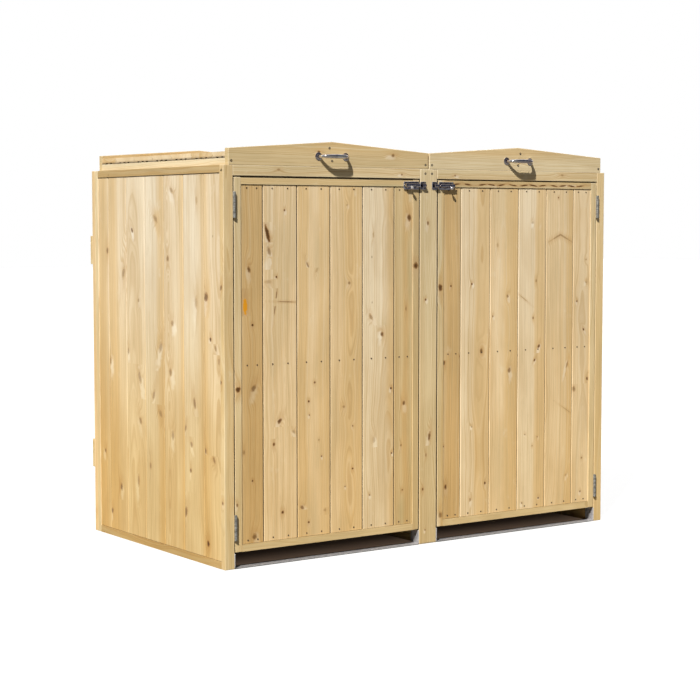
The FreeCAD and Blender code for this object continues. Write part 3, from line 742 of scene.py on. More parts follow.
# Across from the panel's back edge and up from the ground
side_knots = knot_table("""
    54 277 5 1.4 .5, 81 940 6 1.5 .4, 95 579 7 1.6 .35, 100 82 6 1.3 .5, 165 170 6 1.6 .5,
    191 870 8 2.2 .3 -.2, 221 620 5 1.8 .3, 252 1006 5 1.3 .6 .3, 282 204 6 2.5 .25, 291 784 5 1 .3,
    296 539 8 2.4 .3 .3, 298 400 7 1.4 .35 .3, 363 262 5 2 .3, 387 488 6 2.5 .3 -.3,
    406 1043 9 1.2 .3 .6, 430 434 9 1.1 .25 .4, 433 643 9 1.6 .25 -.3, 482 920 6 1.3 .45,
    495 569 8 1.3 .35, 507 373 7 1.6 .25, 508 720 8 1 .3, 508 1130 8 1.1 .3 .5, 584 143 9 1.4 .45 -.3,
    586 403 5 1.8 .3 -.3, 616 276 4 1.5 .6, 621 357 6 1.3 .35 .3, 642 484 7 2 .4 .2, 655 792 7 2.2 .15,
    660 1098 5 2 .15, 702 347 7 1.2 .5 .4, 714 810 9 1.2 .6, 718 66 6 1.3 .8, 738 684 4 1.2 .8,
    755 323 6 1.4 .35 .4, 767 659 5 1.6 .35 .3, 786 620 5 2 .25""")
front_stile_knots = [
    (0.016, 0.84, 0.007, 1.5, 0.5, 0.2), (0.02, 0.56, 0.006, 1.2, 0.8, 0), (0.012, 0.2, 0.005, 1.3, 0.5, 0)]
# Heartwood from and to (mm), how softly it ends, lightness, paleness and strength of the rings
# The lightness is set low as painted shade, since the key light falls more squarely on the side than on the
# front
side_logs = [
    (-20, 50, 14, 0.87, 0.2, 0.8), (-20, 62, 20, 0.89, 0.4, 0.8), (140, 150, 16, 0.88, 0.5, 0.8),
    (82, 160, 16, 0.87, 0.9, 0.8), (98, 160, 16, 0.89, 0.5, 0.8), (104, 180, 24, 0.88, 0.8, 0.7),
    (-20, 26, 20, 0.93, 0.4, 0.8)]
for side, _, flip in halves:
    node = side + "_side_"
    shape = stile_shape(carcass_height, side_lip, side + "back")
    framed(node + "back_stile", shape, flip @ facing_left(panel_corner))
    shape = stile_shape(carcass_height, side_lip, side + "front", front_stile_knots, 1.0)
    place = turned(panel_corner + Vector((0, -panel_width, 0)), backwards, rightwards)
    framed(node + "front_stile", shape, flip @ place)
    for name, seed, level, up, pale in (
            ("bottom_rail", "low", 0, upwards, 0.0), ("top_rail", "high", carcass_height, -upwards, 0.3)):
        length = panel_width - 2 * side_lip
        shape = rail_shape(length, side_lip, side_lip, side + seed, light=0.70, pale=pale, heart=True)
        place = turned(panel_corner + Vector((0, -side_lip, level)), up, rightwards, -backwards)
        framed(node + name, shape, flip @ place)

    height = carcass_height - 2 * side_lip
    boards = []
    for index, low, high, ends in boards_between(side_lip, panel_width - side_lip, side_first_board):
        key = f"{side} side board {index}"
        if side == "left":
            knots = knots_within(side_knots, low, high, side_lip, larger=1.35)
            log = chosen_log(key, *side_logs[index])
        else:
            knots = random_knots(key, high - low, height, 0.17)
            log = board_log(key)
        shape = mark(board_shape(high - low, height, log, knots, ends), "board_upward_tint", 1.0)
        boards.append(placed(shape, flip @ facing_left(panel_corner + Vector((board_vee, -low, side_lip)))))
    fixed_together(node + "cladding", boards, board_pine, "carcass", "boards", node + "boards")


# The divider: a wide centre post in front, and behind it a stile, two rails and boards like those of
# the sides, which part the two bays; the post is screwed to the divider's top rail
post_low, post_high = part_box("centre_post")
post_width = post_high.x - post_low.x
post_arris = 0.003
divider_first_board = 0.070
# How far back from the front the side of a stick that faces a gap is painted dark as shade
gap_shade_from, gap_shade_to = 0.0016, 0.010


def rectangle(x0, y0, x1, y1):
    return [(x0, y0), (x1, y0), (x1, y1), (x0, y1)]


def gap_shaded_edge(shape, side):
    """Marks painted shade on the side of a stick that faces a gap, on its low (-1) or high (1) side."""
    for depth in (gap_shade_from, gap_shade_to):
        cut(shape, backwards * depth, backwards)
    shape.normal_update()
    return mark(shape, "board_groove", -1.0, lambda face, middle: (
        face.normal.x * side > 0.7 and gap_shade_from < middle.y < gap_shade_to))


def cut_off(shape, point, normal):
    """Cuts off what lies beyond a plane, and closes the cut end."""
    cut(shape, point, normal, clear_outer=True)
    bmesh.ops.holes_fill(shape, edges=[edge for edge in shape.edges if edge.is_boundary])
    return shape


post_knots = knot_table("""
    14 178 4.5 1.3 .6, 24 45 3 1 .5, 24 786 4 1 .7, 27 288 3.5 2 .35, 32 1029 5 1.5 .5,
    40 346 6 2.6 .6 -.15""")
shape = eased(stick(rectangle(0, 0, post_width, frame_thickness), carcass_height), post_arris)
grown(
    shape, pith=(0.09, 0.06, 3.7), bands=(0.09, 0.1, 0.006), tone=(0.97, 0.3, 1.0),
    knots=knots_within(post_knots, 0, post_width, 0))
framed("centre_post", gap_shaded_edge(gap_shaded_edge(shape, 1), -1), turned((post_low.x, carcass_front, 0)))

divider_low, divider_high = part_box("divider_back_stile")
divider_corner = Vector((divider_low.x, divider_high.y, 0))
shape = stile_shape(carcass_height, side_lip, "divider back")
framed("divider_back_stile", shape, facing_left(divider_corner))

span = divider_high.y - post_high.y
length = span - frame_width
rails = []
for base, up in ((0.0, 1), (carcass_height, -1)):
    shape = eased(
        shouldered(stick(rebated(side_lip), length), frame_width - side_lip, rebate_depth), timber_arris)
    cut_off(shape, upwards * length, upwards)
    place = turned(divider_corner + Vector((0, -frame_width, base)), upwards * up, rightwards, -backwards)
    rails.append(placed(grown(shape, **frame_log(f"divider rail {up}")), place))
fixed_together("divider_rail_timber", rails, framing_pine, "carcass", "framing", "divider_rails")

boards = []
for index, low, high, ends in boards_between(side_lip, span, divider_first_board):
    key = f"divider board {index}"
    knots = random_knots(key, high - low, height)
    shape = board_shape(high - low, height, board_log(key), knots, ends)
    boards.append(placed(shape, facing_left(divider_corner + Vector((board_vee, -low, side_lip)))))
fixed_together("divider_cladding", boards, board_pine, "carcass", "boards", "divider_boards")


# The front rails: one plain planed rail over each door, between the corner post and the centre
# post, flush with both and with the tops of the panels
rails_low, rails_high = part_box("front_rails")
section = rectangle(0, 0, rails_high.z - rails_low.z, rails_high.y - rails_low.y)
knots = [(0.02, 0.16, 0.004, 1.8, 0.3, 0.0), (0.012, 0.62, 0.004, 1.2, 0.5, 0.0)]
rails = []
for _, sign, flip in halves:
    shape = eased(stick(section, -post_high.x - rails_low.x), timber_arris)
    grown(shape, (0.06, 0.03 * sign, 8.1 + sign), (0.05, 0.06, 0.006), (1.0, 0.0, 1.0), knots)
    rails.append(placed(shape, flip @ turned(rails_low, upwards, backwards, rightwards)))
fixed_together("front_rail_timber", rails, framing_pine, "carcass", "framing", "front_rails")


# The back: thicker upright boards nailed over the whole width, held by two flat battens screwed
# across them on the outside, whose ends show past the edge of the side panel
back_low, back_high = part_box("back_boards")
back_thickness = 0.020
back_vee = 0.0015
back_first_board = 0.089
boards = []
for index, low, high, ends in boards_between(0.0, back_high.x - back_low.x, back_first_board):
    key = f"back board {index}"
    shape = stick(board_section(high - low, back_thickness, back_vee, ends), carcass_height)
    knots = random_knots(key, high - low, carcass_height)
    grown(eased(shape, board_arris), knots=knots, vee=back_vee, ends=ends, **board_log(key))
    boards.append(placed(shape, turned((back_high.x - low, back_high.y, 0), -rightwards, -backwards)))
fixed_together("back_cladding", boards, board_pine, "carcass", "boards", "back_boards")

for name in ("back_lower_batten", "back_upper_batten"):
    low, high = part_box(name)
    shape = eased(stick(rectangle(0, 0, high.z - low.z, high.y - low.y), high.x - low.x), timber_arris)
    grown(shape, knots=random_knots(name, 0.09, high.x - low.x, 0.35), **board_log(name))
    framed(name, shape, turned((low.x, high.y, low.z), upwards, -backwards, rightwards))


# The doors: rebated frames like the sides', with a middle rail behind the boards, hung between the
# corner post and the centre post; each board is nailed to the three rails
door_low = Vector(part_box("left_door_hinge_stile")[0])
door_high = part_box("left_door_lock_stile")[1]
door_width = door_high.x - door_low.x
door_height = door_high.z - door_low.z
stile_lip = 0.024
rail_lip = 0.021
door_first_board = 0.077
# Across from the door's hinge side and up from its foot; a darkness below 0 is orange resin
door_knots = {
    "left": knot_table("""
    6 142 4 1.4 .5, 11 488 9 1.1 .85, 32 298 4 2 .3, 52 842 6 1.7 .6 .2, 62 210 3 1 .8, 64 677 4 1 .8,
    67 488 9 1.3 .45 -.3, 68 40 9 1.1 .5, 118 947 7 4.6 .9 .24, 123 897 7 2 .4 .2, 124 863 9 1.6 0,
    138 315 5 1.3 .8, 38.5 731 7.5 3.4 -.95, 149 765 2.5 7 .5 -.13, 143 721 2.5 7 .45 -.13,
    188 743 36 .045 .5 .05, 120 805 13 .45 .12 .15, 149 819 4 1 .9, 159 384 7 1.3 .7 -.4,
    169 105 5 1.1 .85, 178 1018 4 1 .7, 210 348 6 1.2 .25 .4, 240 113 7 1 .45 .5, 262 853 4 2.6 .4 .45,
    264 65 4 1 .7, 265 437 4 1 .9, 267 395 3 1 .5, 287 494 4 1 .6, 295 837 5 1.6 .1 -.4, 302 316 3 1 .3,
    312 265 3 1 .6, 324 97 7 .8 .2, 395 413 6 1 .3, 400 163 3 1 .5, 408 1035 4 1 .2, 416 795 6 1 .4,
    429 217 4 1 .95, 429 351 3 1 .5, 494 128 4 1 .4, 498 689 7 1.5 .35 .4, 508 943 4 2.5 .15,
    510 301 6 1.8 .12, 542 632 7 1.2 .6, 577 460 4 1 .95, 580 254 3 1 .9, 617 276 4 1.4 .5,
    623 133 4 1 .4, 628 410 7 1.2 .6, 636 711 4 2.5 .3, 648 997 8 1.5 .7, 672 845 10 1.1 .8"""),
    "right": knot_table("""
    32 446 5 1.4 .7, 41 778 4 1 .3, 42 855 4 1 .3, 50 616 4 1.2 .8 -.4, 54 175 4 1 .4, 60 59 4 1 .5,
    82 714 4 1 .8, 93 415 8 1.3 .4, 125 499 4 3.5 .35 .3, 126 122 5 1.2 .15 .4, 127 346 26 .08 .2 -.6,
    170 1064 3 1 .7, 160 940 58 .07 .3 1.46, 250 54 4 1 .6, 253 567 6 1.2 .7 .3, 257 262 3.5 1 .4,
    271 522 4 1.3 .8 .4, 279 233 3 1 .4, 279 663 3.5 1.4 .5, 284 980 5 1 .15, 266 787 4 1.5 .3,
    322 730 22 .1 .25 -.67, 312 273 4 1 .35, 323 43 4 1 .45, 382 493 7 1.4 .45, 391 739 5 1.3 .4,
    435 908 4 2 .15, 454 674 4 1 .5, 484 125 4 1.2 .85, 502 562 7 1.3 .6, 541 315 3.5 1 .3,
    543 782 4 1 .7, 546 75 5 1.4 .4, 590 548 4 1 .9, 630 777 4 1 .7, 649 127 6 1.4 .7, 658 530 6 1.4 .65,
    660 259 3.5 1 .8, 672 38 8 1.5 .45, 675 772 9 1.4 .75""")}
door_logs = {
    "left": [
        (8, 200, 12, 0.83, 0.0, 0.8), (200, 210, 10, 0.99, 0.05, 0.7), (43, 79, -14, 1.0, 0.0, 0.6),
        (42, 200, 16, 1.02, 0.0, 0.9), (92, 200, 14, 1.0, 0.7, 0.8), (40, 60, 9, 0.90, -0.6, 1.0)],
    "right": [
        (140, 150, 10, 0.97, 0.2, 0.7), (-40, 42, 12, 0.99, 0.1, 0.6), (-40, 46, 12, 1.01, 0.55, 0.7),
        (-40, 52, 14, 1.02, 0.05, 0.8), (-40, 60, 12, 1.02, 0.6, 0.8), (8, 66, 10, 0.87, 0.0, 1.0)]}
fleck_steps = (0.03, 0.07, 0.11, 0.15, 0.2, 0.24, 0.28, 0.33, 0.38, 0.42, 0.46, 0.52, 0.57)
dark_flecks = [
    (0.012, 0.02 + step, 0.0028, 6.5, 0.8, 0.12 if index % 2 else -0.1)
    for index, step in enumerate(fleck_steps)]
# How light the lock stile is, how far soil and painted shade darken the boards' vees, and the top rail's
# knots and tone
door_looks = {"left": (0.83, 0.6, (), 0.95, -0.5), "right": (0.93, 1.0, dark_flecks, 0.9, 0.0)}
for side, _, flip in halves:
    body = side + "_door"
    knots = door_knots[side]
    lock_light, vee_shade, *top_look = door_looks[side]
    length = door_width - 2 * stile_lip
    hinge_knots = knots_within(knots, 0, stile_lip, 0)
    lock_knots = knots_within(knots, door_width - stile_lip, door_width, 0, flipped=True)
    top_rail = rail_shape(length, rail_lip, stile_lip, body + "high", *top_look)
    # A strip along the top of the left door's top rail is painted dark as the shade in the gap under the
    # front rail
    if side == "left":
        cut(top_rail, rightwards * painted_shade_strip, rightwards)
        mark(top_rail, "board_groove", -0.85, lambda face, middle: middle.x < painted_shade_strip)
    section = rectangle(0, rebate_depth, frame_width, frame_thickness)
    middle_rail = eased(stick(section, door_width - 2 * frame_width), timber_arris)
    middle_level = (door_height - frame_width) / 2
    upright, level = (backwards, upwards), (backwards, rightwards)
    for name, shape, corner, across, run in (
            ("hinge_stile", gap_shaded_edge(stile_shape(door_height, stile_lip, body + "hinge", hinge_knots), -1),
             (0, 0, 0), rightwards, upright),
            ("lock_stile", gap_shaded_edge(
                stile_shape(door_height, stile_lip, body + "lock", lock_knots, lock_light), -1),
             (door_width, 0, 0), -rightwards, upright),
            ("bottom_rail", rail_shape(length, rail_lip, stile_lip, body + "low", light=0.95),
             (stile_lip, 0, 0), upwards, level),
            ("top_rail", top_rail, (stile_lip, 0, door_height), -upwards, level),
            ("middle_rail", grown(middle_rail, **frame_log(side + " door middle")),
             (frame_width, 0, middle_level), upwards, level)):
        framed(f"{body}_{name}", shape, flip @ turned(door_low + Vector(corner), across, *run), body)

    boards = []
    for index, low, high, ends in boards_between(stile_lip, door_width - stile_lip, door_first_board):
        log = chosen_log(f"{side} door board {index}", *door_logs[side][index])
        board_knots = knots_within(knots, low, high, rail_lip)
        shape = board_shape(high - low, door_height - 2 * rail_lip, log, board_knots, ends, vee_shade)
        boards.append(placed(shape, flip @ turned(door_low + Vector((low, board_vee, rail_lip)))))
    fixed_together(body + "_cladding", boards, board_pine, body, "boards", body + "_boards")


# The lids: a gable board sawn to a low peak at each end, two side battens and a ridge rafter between
# them, and boards laid from the eaves to the ridge on both slopes
lid_low, lid_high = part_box("left_lid_front_gable")
lid_width = lid_high.x - lid_low.x
lid_middle = (lid_low.x + lid_high.x) / 2
gable_thickness = lid_high.y - lid_low.y
gable_end = 0.050
gable_peak = lid_high.z - lid_low.z
roof_slope = math.atan2(gable_peak - gable_end, lid_width / 2)
roof_thickness = 0.019
roof_top_drop = 0.010
roof_vee = 0.001
roof_first_board = 0.095
roof_tone = (0.92, 0.0, 0.9)
# The tops of the roof boards are painted darker as shade, to offset the key light that falls on them squarely
roof_top_painted_shade = 0.78
ridge_gap = 0.0002
hollow_half = 0.0065
hollow_depth = 0.0042
hollow_pitch = 0.028
# How far up from the eaves the hollows under the roof boards are painted dark as shade
shaded_run = 0.055
eave = Vector((lid_low.x, 0, lid_low.z + gable_end))
up_slope = Vector((math.cos(roof_slope), 0, math.sin(roof_slope)))
off_slope = Vector((-math.sin(roof_slope), 0, math.cos(roof_slope)))
batten_width = 0.020
rafter_width = 0.033
rafter_depth = 0.044
gable_knots = {
    "left_front": [(0.045, 0.32, 0.004, 1.5, 0.6, 0.0), (0.04, 0.60, 0.006, 1.2, 0.5, 0.0)],
    "right_front": [(0.03, 0.36, 0.005, 1.3, 0.2, 0.0)]}
gable_tones = {"left": (0.93, -0.1, 1.2), "right": (0.97, 0.5, 1.2)}


def sawn(shape, point, normal, place):
    """Saws off the part of a stick beyond a plane given where the stick will be fixed."""
    back_to_bench = place.inverted()
    return outwards(cut_off(shape, back_to_bench @ Vector(point), back_to_bench.to_3x3() @ Vector(normal)))


def under_roof(x):
    """The height of the underside of the roof boards over a place on the left lid."""
    rise = (lid_width / 2 - abs(x - lid_middle)) * math.tan(roof_slope)
    return lid_low.z + gable_end + rise - roof_top_drop - roof_thickness / math.cos(roof_slope)


for side, sign, flip in halves:
    body = side + "_lid"
    for end, y, inward in (("front", lid_low.y, backwards), ("back", carcass_back, -backwards)):
        place = turned((lid_low.x, y, lid_low.z), upwards, inward, rightwards)
        shape = stick(rectangle(0, 0, gable_peak, gable_thickness), lid_width)
        sawn(shape, eave, off_slope, place)
        sawn(shape, eave + rightwards * lid_width, (-off_slope.x, 0, off_slope.z), place)
        key = f"{side}_{end}"
        grown(
            eased(shape, timber_arris), (0.10, 0.02, len(key) + sign), (0.045, 0.2, 0.02), gable_tones[side],
            gable_knots.get(key, ()))
        framed(f"{body}_{end}_gable", shape, flip @ place, body)

    length = panel_width - 2 * gable_thickness
    from_front = flip @ turned((0, lid_low.y + gable_thickness, 0), rightwards, upwards, backwards)
    battens = []
    for x0 in (lid_low.x, lid_high.x - batten_width):
        x1 = x0 + batten_width
        section = [(x0, lid_low.z), (x1, lid_low.z), (x1, under_roof(x1)), (x0, under_roof(x0))]
        shape = grown(eased(stick(section, length), board_arris), **frame_log(f"{side} {x0:.2f}", 0.96, 0.9))
        battens.append(placed(shape, from_front))
    fixed_together(body + "_batten_timber", battens, framing_pine, body, "framing", body + "_side_battens")

    x0 = lid_middle - rafter_width / 2
    x1 = lid_middle + rafter_width / 2
    top = under_roof(lid_middle)
    section = [
        (x0, top - rafter_depth), (x1, top - rafter_depth), (x1, under_roof(x1)), (lid_middle, top),
        (x0, under_roof(x0))]
    shape = grown(eased(stick(section, length), board_arris), **frame_log(side + " rafter"))
    fixed_together(
        body + "_rafter_timber", [placed(shape, from_front)], framing_pine, body, "framing",
        body + "_ridge_rafter")

    boards = []
    over_ridge = Matrix.Translation((2 * lid_middle, 0, 0)) @ mirror
    for slope, ridge_flip in ((1, Matrix.Identity(4)), (-1, over_ridge)):
        for index, low, high, ends in boards_between(0.0, length, roof_first_board):
            key = f"{side} roof {slope} {index}"
            width = high - low
            centre = board_cover / 2 if index else roof_first_board - board_cover / 2
            hollows = [
                (x - hollow_half, x + hollow_half, hollow_depth)
                for x in (centre - hollow_pitch, centre, centre + hollow_pitch)
                if 0 < x - hollow_half and x + hollow_half < width]
            section = board_section(width, roof_thickness, roof_vee, ends, hollows)
            shape = eased(stick(section, lid_width / 2 + 0.04), board_arris)
            corner = Vector((eave.x, carcass_back - gable_thickness - low, eave.z - roof_top_drop))
            place = turned(corner - up_slope * roof_thickness, -backwards, -off_slope, up_slope)
            sawn(shape, (lid_low.x, 0, 0), -rightwards, place)
            sawn(shape, (lid_middle - ridge_gap, 0, 0), rightwards, place)
            # The hollows near the eaves and the underside of each eave end are painted dark as shade
            cut(shape, upwards * shaded_run, upwards)
            grown(
                shape, knots=random_knots(key, width, lid_width / 2), vee=roof_vee, ends=ends,
                hollow=roof_thickness - hollow_depth, hollow_run=shaded_run, painted_end_shade=roof_thickness * 1.05,
                **{**board_log(key), "tone": roof_tone})
            # The board's top faces take the darker tone of painted shade
            roof_top_shaded_tone = (roof_tone[0] * roof_top_painted_shade, 0.2, 1.0)
            mark(
                shape, "board_tone", roof_top_shaded_tone, lambda face, middle: face.normal.y < -0.7,
                "float_vector")
            boards.append(placed(shape, flip @ ridge_flip @ place))
    fixed_together(body + "_roof_cladding", boards, board_pine, body, "roof_boards", body + "_roof_boards")


# The handles: a bow of thick round bar on each front gable, between two turned roses, all of it
# bright plated; the bow is thickest in the middle, and its feet run through the roses into the board
plating_group, given, result = new_group(
    "plating", {"Place": "Vector", "Patch Size": "Float"}, ("Patches", "Scratches", "Specks"))
place, size = given["Place"], given["Patch Size"]
patch_place = field("VectorMath", {0: place, 1: combined(size, size, size)}, {"operation": "DIVIDE"})
fill(result, {
    "Patches": noise(patch_place, 1.0, detail=4.0, roughness=0.6),
    "Scratches": noise(place, (300, 300, 2600)),
    "Specks": ramped(noise(place, 900.0, detail=1.0), 0.66, 0.74)})
# Grime for the specks, and the painted shade in seams and recesses
grime_and_shade = (0.03, 0.026, 0.02, 1)


def plated(name, colour, patina_and_painted_reflection, roughness, metallic, patch_size, wear_and_highlight):
    """Plated steel: its bright colour, duller patches, fine scratches and specks of grime. A positive mark
    makes a face bright as wear, which on the bolt plates' rims and knobs is a painted highlight; a negative
    one paints shade in seams, recesses and along strap edges."""
    material, tree, surface = new_material(name)
    plating = grouped(tree, plating_group, {"Place": position(tree), "Patch Size": patch_size})
    patches, scratches = plating["Patches"], plating["Scratches"]
    wear_and_light = read(tree, "wear_and_painted_light", "Fac")
    relief = scratches * 0.3 + patches
    fill(surface, {
        "Base Color": laid_over(
            colour, (ramped(patches, 0.36, 0.66), patina_and_painted_reflection), (plating["Specks"] * 0.35, grime_and_shade),
            (greater(wear_and_light, 0.0), wear_and_highlight), (calc("MULTIPLY", wear_and_light, -1.0, clamp=True), grime_and_shade)),
        "Roughness": scratches * (0.2 * roughness) + (patches * (0.25 * roughness) + 0.85 * roughness),
        "Metallic": abs(wear_and_light) * (-0.7 * metallic) + metallic,
        "Normal": field("Bump", {"Strength": 0.12, "Distance": 0.0002, "Height": relief})})
    return material


# The bolts' bluish colour and navy patches, and the handle's purplish patches, are painted reflection of a
# dark sky
bright_plate = plated(
    "bright_plate", (0.46, 0.46, 0.54, 1), (0.16, 0.16, 0.24, 1), 0.16, 1.0, 0.006, (0.80, 0.80, 0.84, 1))
polished_plate = plated(
    "polished_plate", (0.86, 0.85, 0.83, 1), (0.38, 0.33, 0.38, 1), 0.10, 1.0, 0.045, (0.88, 0.88, 0.90, 1))


def smoothed(shape):
    """Shades a metal piece smooth between its sharp edges."""
    layer_of(shape, "wear_and_painted_light")
    for face in shape.faces:
        face.smooth = True
    for edge in shape.edges:
        edge.smooth = edge.calc_face_angle(0.0) < 0.6
    return shape


def lathed(profile, segments=24, bored=False):
    """A piece turned about its own Z from (height, radius) points. A bored one is closed on itself."""
    shape = bmesh.new()
    points = [shape.verts.new((radius, 0, height)) for height, radius in profile]
    ends = points[1:] + points[:1] if bored else points[1:]
    edges = [shape.edges.new(pair) for pair in zip(points, ends)]
    bmesh.ops.spin(
        shape, geom=points + edges, cent=(0, 0, 0), axis=upwards, angle=math.tau, steps=segments,
        use_merge=True)
    bmesh.ops.remove_doubles(shape, verts=shape.verts, dist=0.000001)
    return smoothed(outwards(shape))


def bent_bar(stations):
    """A round bar bent in its own X and Y: each station is a place, a heading and a radius."""
    shape = bmesh.new()
    ring = bmesh.ops.create_circle(shape, cap_ends=True, segments=20, radius=1.0)["verts"]
    last = Matrix.Identity(4)
    for index, (x, y, heading, radius) in enumerate(stations):
        if index:
            cap = [face for face in ring[0].link_faces if set(face.verts) == set(ring)]
            ring = verts_of(bmesh.ops.extrude_face_region(shape, geom=cap))
            bmesh.ops.delete(shape, geom=cap if index > 1 else [], context="FACES_ONLY")
        place = Matrix.Translation((x, y, 0)) @ Matrix.Rotation(heading, 4, "Z")
        place = place @ Matrix.Rotation(math.pi / 2, 4, "Y") @ Matrix.Diagonal((radius, radius, 1, 1))
        bmesh.ops.transform(shape, matrix=place @ last.inverted(), verts=ring)
        last = place
    return smoothed(outwards(shape))


handle_foot = 0.050
handle_reach = 0.0292
handle_bend = 0.028
handle_height = 0.031
stations = [(-handle_foot, 0.0, math.pi / 2, 0.0046)]
for step in range(9):
    turn = step / 8 * math.pi / 2
    stations.append((
        -handle_foot + handle_bend - handle_bend * math.cos(turn),
        handle_reach - handle_bend + handle_bend * math.sin(turn),
        math.pi / 2 - turn, 0.0047 + 0.0017 * step / 8))
stations += [(0.0, handle_reach, 0.0, 0.0068)]
stations += [(-x, y, -heading, radius) for x, y, heading, radius in reversed(stations[:-1])]
rose = [
    (0, 0), (0, 0.0125), (0.0008, 0.0125), (0.0014, 0.0121), (0.002, 0.0108), (0.0026, 0.0090),
    (0.0028, 0.0078), (0.0035, 0.0074), (0.0035, 0.0)]
for side, sign, _ in halves:
    middle = Vector((sign * lid_middle, lid_low.y, carcass_height + handle_height))
    shapes = [placed(bent_bar(stations), turned(middle, rightwards, -backwards, -upwards))]
    for x in (-handle_foot, handle_foot):
        place = turned(middle + rightwards * x, rightwards, upwards, -backwards)
        shapes.append(placed(lathed(rose, 32), place))
    body = side + "_lid"
    fixed_together(body + "_bow_handle", shapes, polished_plate, body, "chrome", body + "_handle")


# The bolts: a stamped plate screwed to the lock corner of each door, a barrel with a slot raised on
# it, and inside that the round bolt with its knob; a keep of the same make stands on the centre post
plate_thickness = 0.0016
plate_height = 0.025
plate_corner = 0.003
plate_arris = 0.0005
bolt_plate_length = 0.060
bolt_axis_height = 0.0068
bolt_radius = 0.004
bolt_wall = 0.0022
bolt_travel = 0.018
knob_set_back = 0.041
knob_angle = math.radians(35)
knob_round = 0.005
keep_length = 0.022
bolt_drop = 0.0175
slot_turns = (0.1, 1.1)
slot_play = 0.0027


def pressed_plate(length):
    """A plate from X = 0, centred on Z, that stands out from Y = 0 towards -Y, with round corners."""
    section = [(0, 0), (0, -plate_thickness), (length, -plate_thickness), (length, 0)]
    shape = shifted(stick(section, plate_height), 0, 0, -plate_height / 2)
    through = plate_thickness / 2
    corners = [edge for edge in shape.edges if abs(edge.verts[0].co.y - edge.verts[1].co.y) > through]
    bevelled(shape, corners, plate_corner, 4)
    # The rim's narrow faces are painted bright, as wear and as a painted highlight
    rim = [edge for edge in shape.edges if all(vert.co.y < -plate_thickness * 0.9 for vert in edge.verts)]
    return smoothed(bevelled(shape, rim, plate_arris, 2, 0.9))


def drawn_on(shape, row):
    """Draws a row of edges out into new faces. Returns the new row's corners and edges."""
    made = bmesh.ops.extrude_edge_only(shape, edges=row)
    verts = verts_of(made)
    edges = [item for item in made["geom"] if isinstance(item, bmesh.types.BMEdge)]
    return verts, [edge for edge in edges if all(vert in verts for vert in edge.verts)]


def slotted_barrel(start, length, slot=()):
    """A barrel round the bolt, which lies along X at Y = Z = 0, with its sides run down to the plate.
    The slot is cut from one place along it to another."""
    shape = bmesh.new()
    foot_y = bolt_axis_height - plate_thickness
    foot, bend = [shape.verts.new((start, y, -bolt_radius - bolt_wall)) for y in (foot_y, 0)]
    shape.edges.new((foot, bend))
    last = bmesh.ops.spin(
        shape, geom=[bend], cent=(start, 0, 0), axis=-rightwards, angle=math.pi, steps=20,
        use_merge=False)["geom_last"][0]
    shape.edges.new((last, shape.verts.new((start, foot_y, last.co.z))))
    row = shape.edges[:]
    stops = [0.0, *slot, length]
    for low, high in zip(stops, stops[1:]):
        verts, row = drawn_on(shape, row)
        bmesh.ops.translate(shape, vec=(high - low, 0, 0), verts=verts)
    if slot:
        middles = [(face, face.calc_center_median()) for face in shape.faces]
        gap = [
            face for face, middle in middles if slot[0] < middle.x - start < slot[1]
            and slot_turns[0] < math.atan2(-middle.z, -middle.y) < slot_turns[1]]
        bmesh.ops.delete(shape, geom=gap, context="FACES")
    outwards(shape)
    if min(shape.faces, key=lambda face: face.calc_center_median().y).normal.y > 0:
        bmesh.ops.reverse_faces(shape, faces=shape.faces)
    bmesh.ops.solidify(shape, geom=shape.faces[:], thickness=bolt_wall * 0.8)
    return smoothed(outwards(shape))


def screw_shape(head_radius, radius, length, dome=0.0):
    """A cross-headed screw that goes in along its own Z, its head's rim at Z = 0."""
    shape = bmesh.new()
    segments = 16
    bmesh.ops.create_circle(shape, cap_ends=True, segments=segments, radius=head_radius)
    cap = shape.faces[:][0]
    bmesh.ops.inset_region(
        shape, faces=[cap], thickness=head_radius * 0.38, depth=0.0, use_boundary=True, use_even_offset=True)
    rim = [edge for edge in shape.edges if edge.is_boundary]
    cross = (1.0, 0.42, 0.40, 0.42)
    for vert in cap.verts:
        reach = cross[round(math.atan2(vert.co.y, vert.co.x) / math.tau * segments) % 4]
        vert.co = Vector((vert.co.x * reach, vert.co.y * reach, -dome))
    sunk = verts_of(bmesh.ops.extrude_face_region(shape, geom=[cap]))
    bmesh.ops.delete(shape, geom=[cap], context="FACES_ONLY")
    bmesh.ops.translate(shape, vec=(0, 0, head_radius * 0.45), verts=sunk)
    bmesh.ops.scale(shape, vec=(0.8, 0.8, 1.0), verts=sunk)
    # The cross recess is painted dark as shade
    mark(shape, "wear_and_painted_light", -0.9, lambda face, middle: all(
        vert.co.z > -dome - 1e-6 and vert.co.length < head_radius * 0.8 for vert in face.verts))
    rim_depth = 0.0003
    for drop, width in (
            (rim_depth, 1.0), (head_radius - radius + rim_depth, radius / head_radius),
            (length - radius * 3, 0.95), (length, 0.1)):
        verts, rim = drawn_on(shape, rim)
        bmesh.ops.translate(shape, vec=(0, 0, drop - verts[0].co.z), verts=verts)
        bmesh.ops.scale(shape, vec=(width, width, 1.0), verts=verts)
    bmesh.ops.contextual_create(shape, geom=rim)
    return smoothed(outwards(shape))


def screw_at(place, direction, head_radius, radius, length, dome=0.0003):
    """A screw whose head's rim lies at a place, driven in along a level direction."""
    shape = screw_shape(head_radius, radius, length, dome)
    return placed(shape, turned(place, upwards, direction.cross(upwards), direction))


def plate_screws(start, length, inset):
    """The four screws of a bolt or keep, given on the left half of the store."""
    reach = plate_height / 2 - 0.003
    return [
        screw_at((x, carcass_front - plate_thickness, bolt_level + z), backwards, 0.0024, 0.0012, 0.014)
        for x in (start + inset, start + length - inset) for z in (-reach, reach)]


def all_placed(shapes, place):
    return [placed(shape, place) for shape in shapes]


def mirrored(shapes):
    """Copies of finished pieces on the other half of the store."""
    return all_placed([shape.copy() for shape in shapes], mirror)


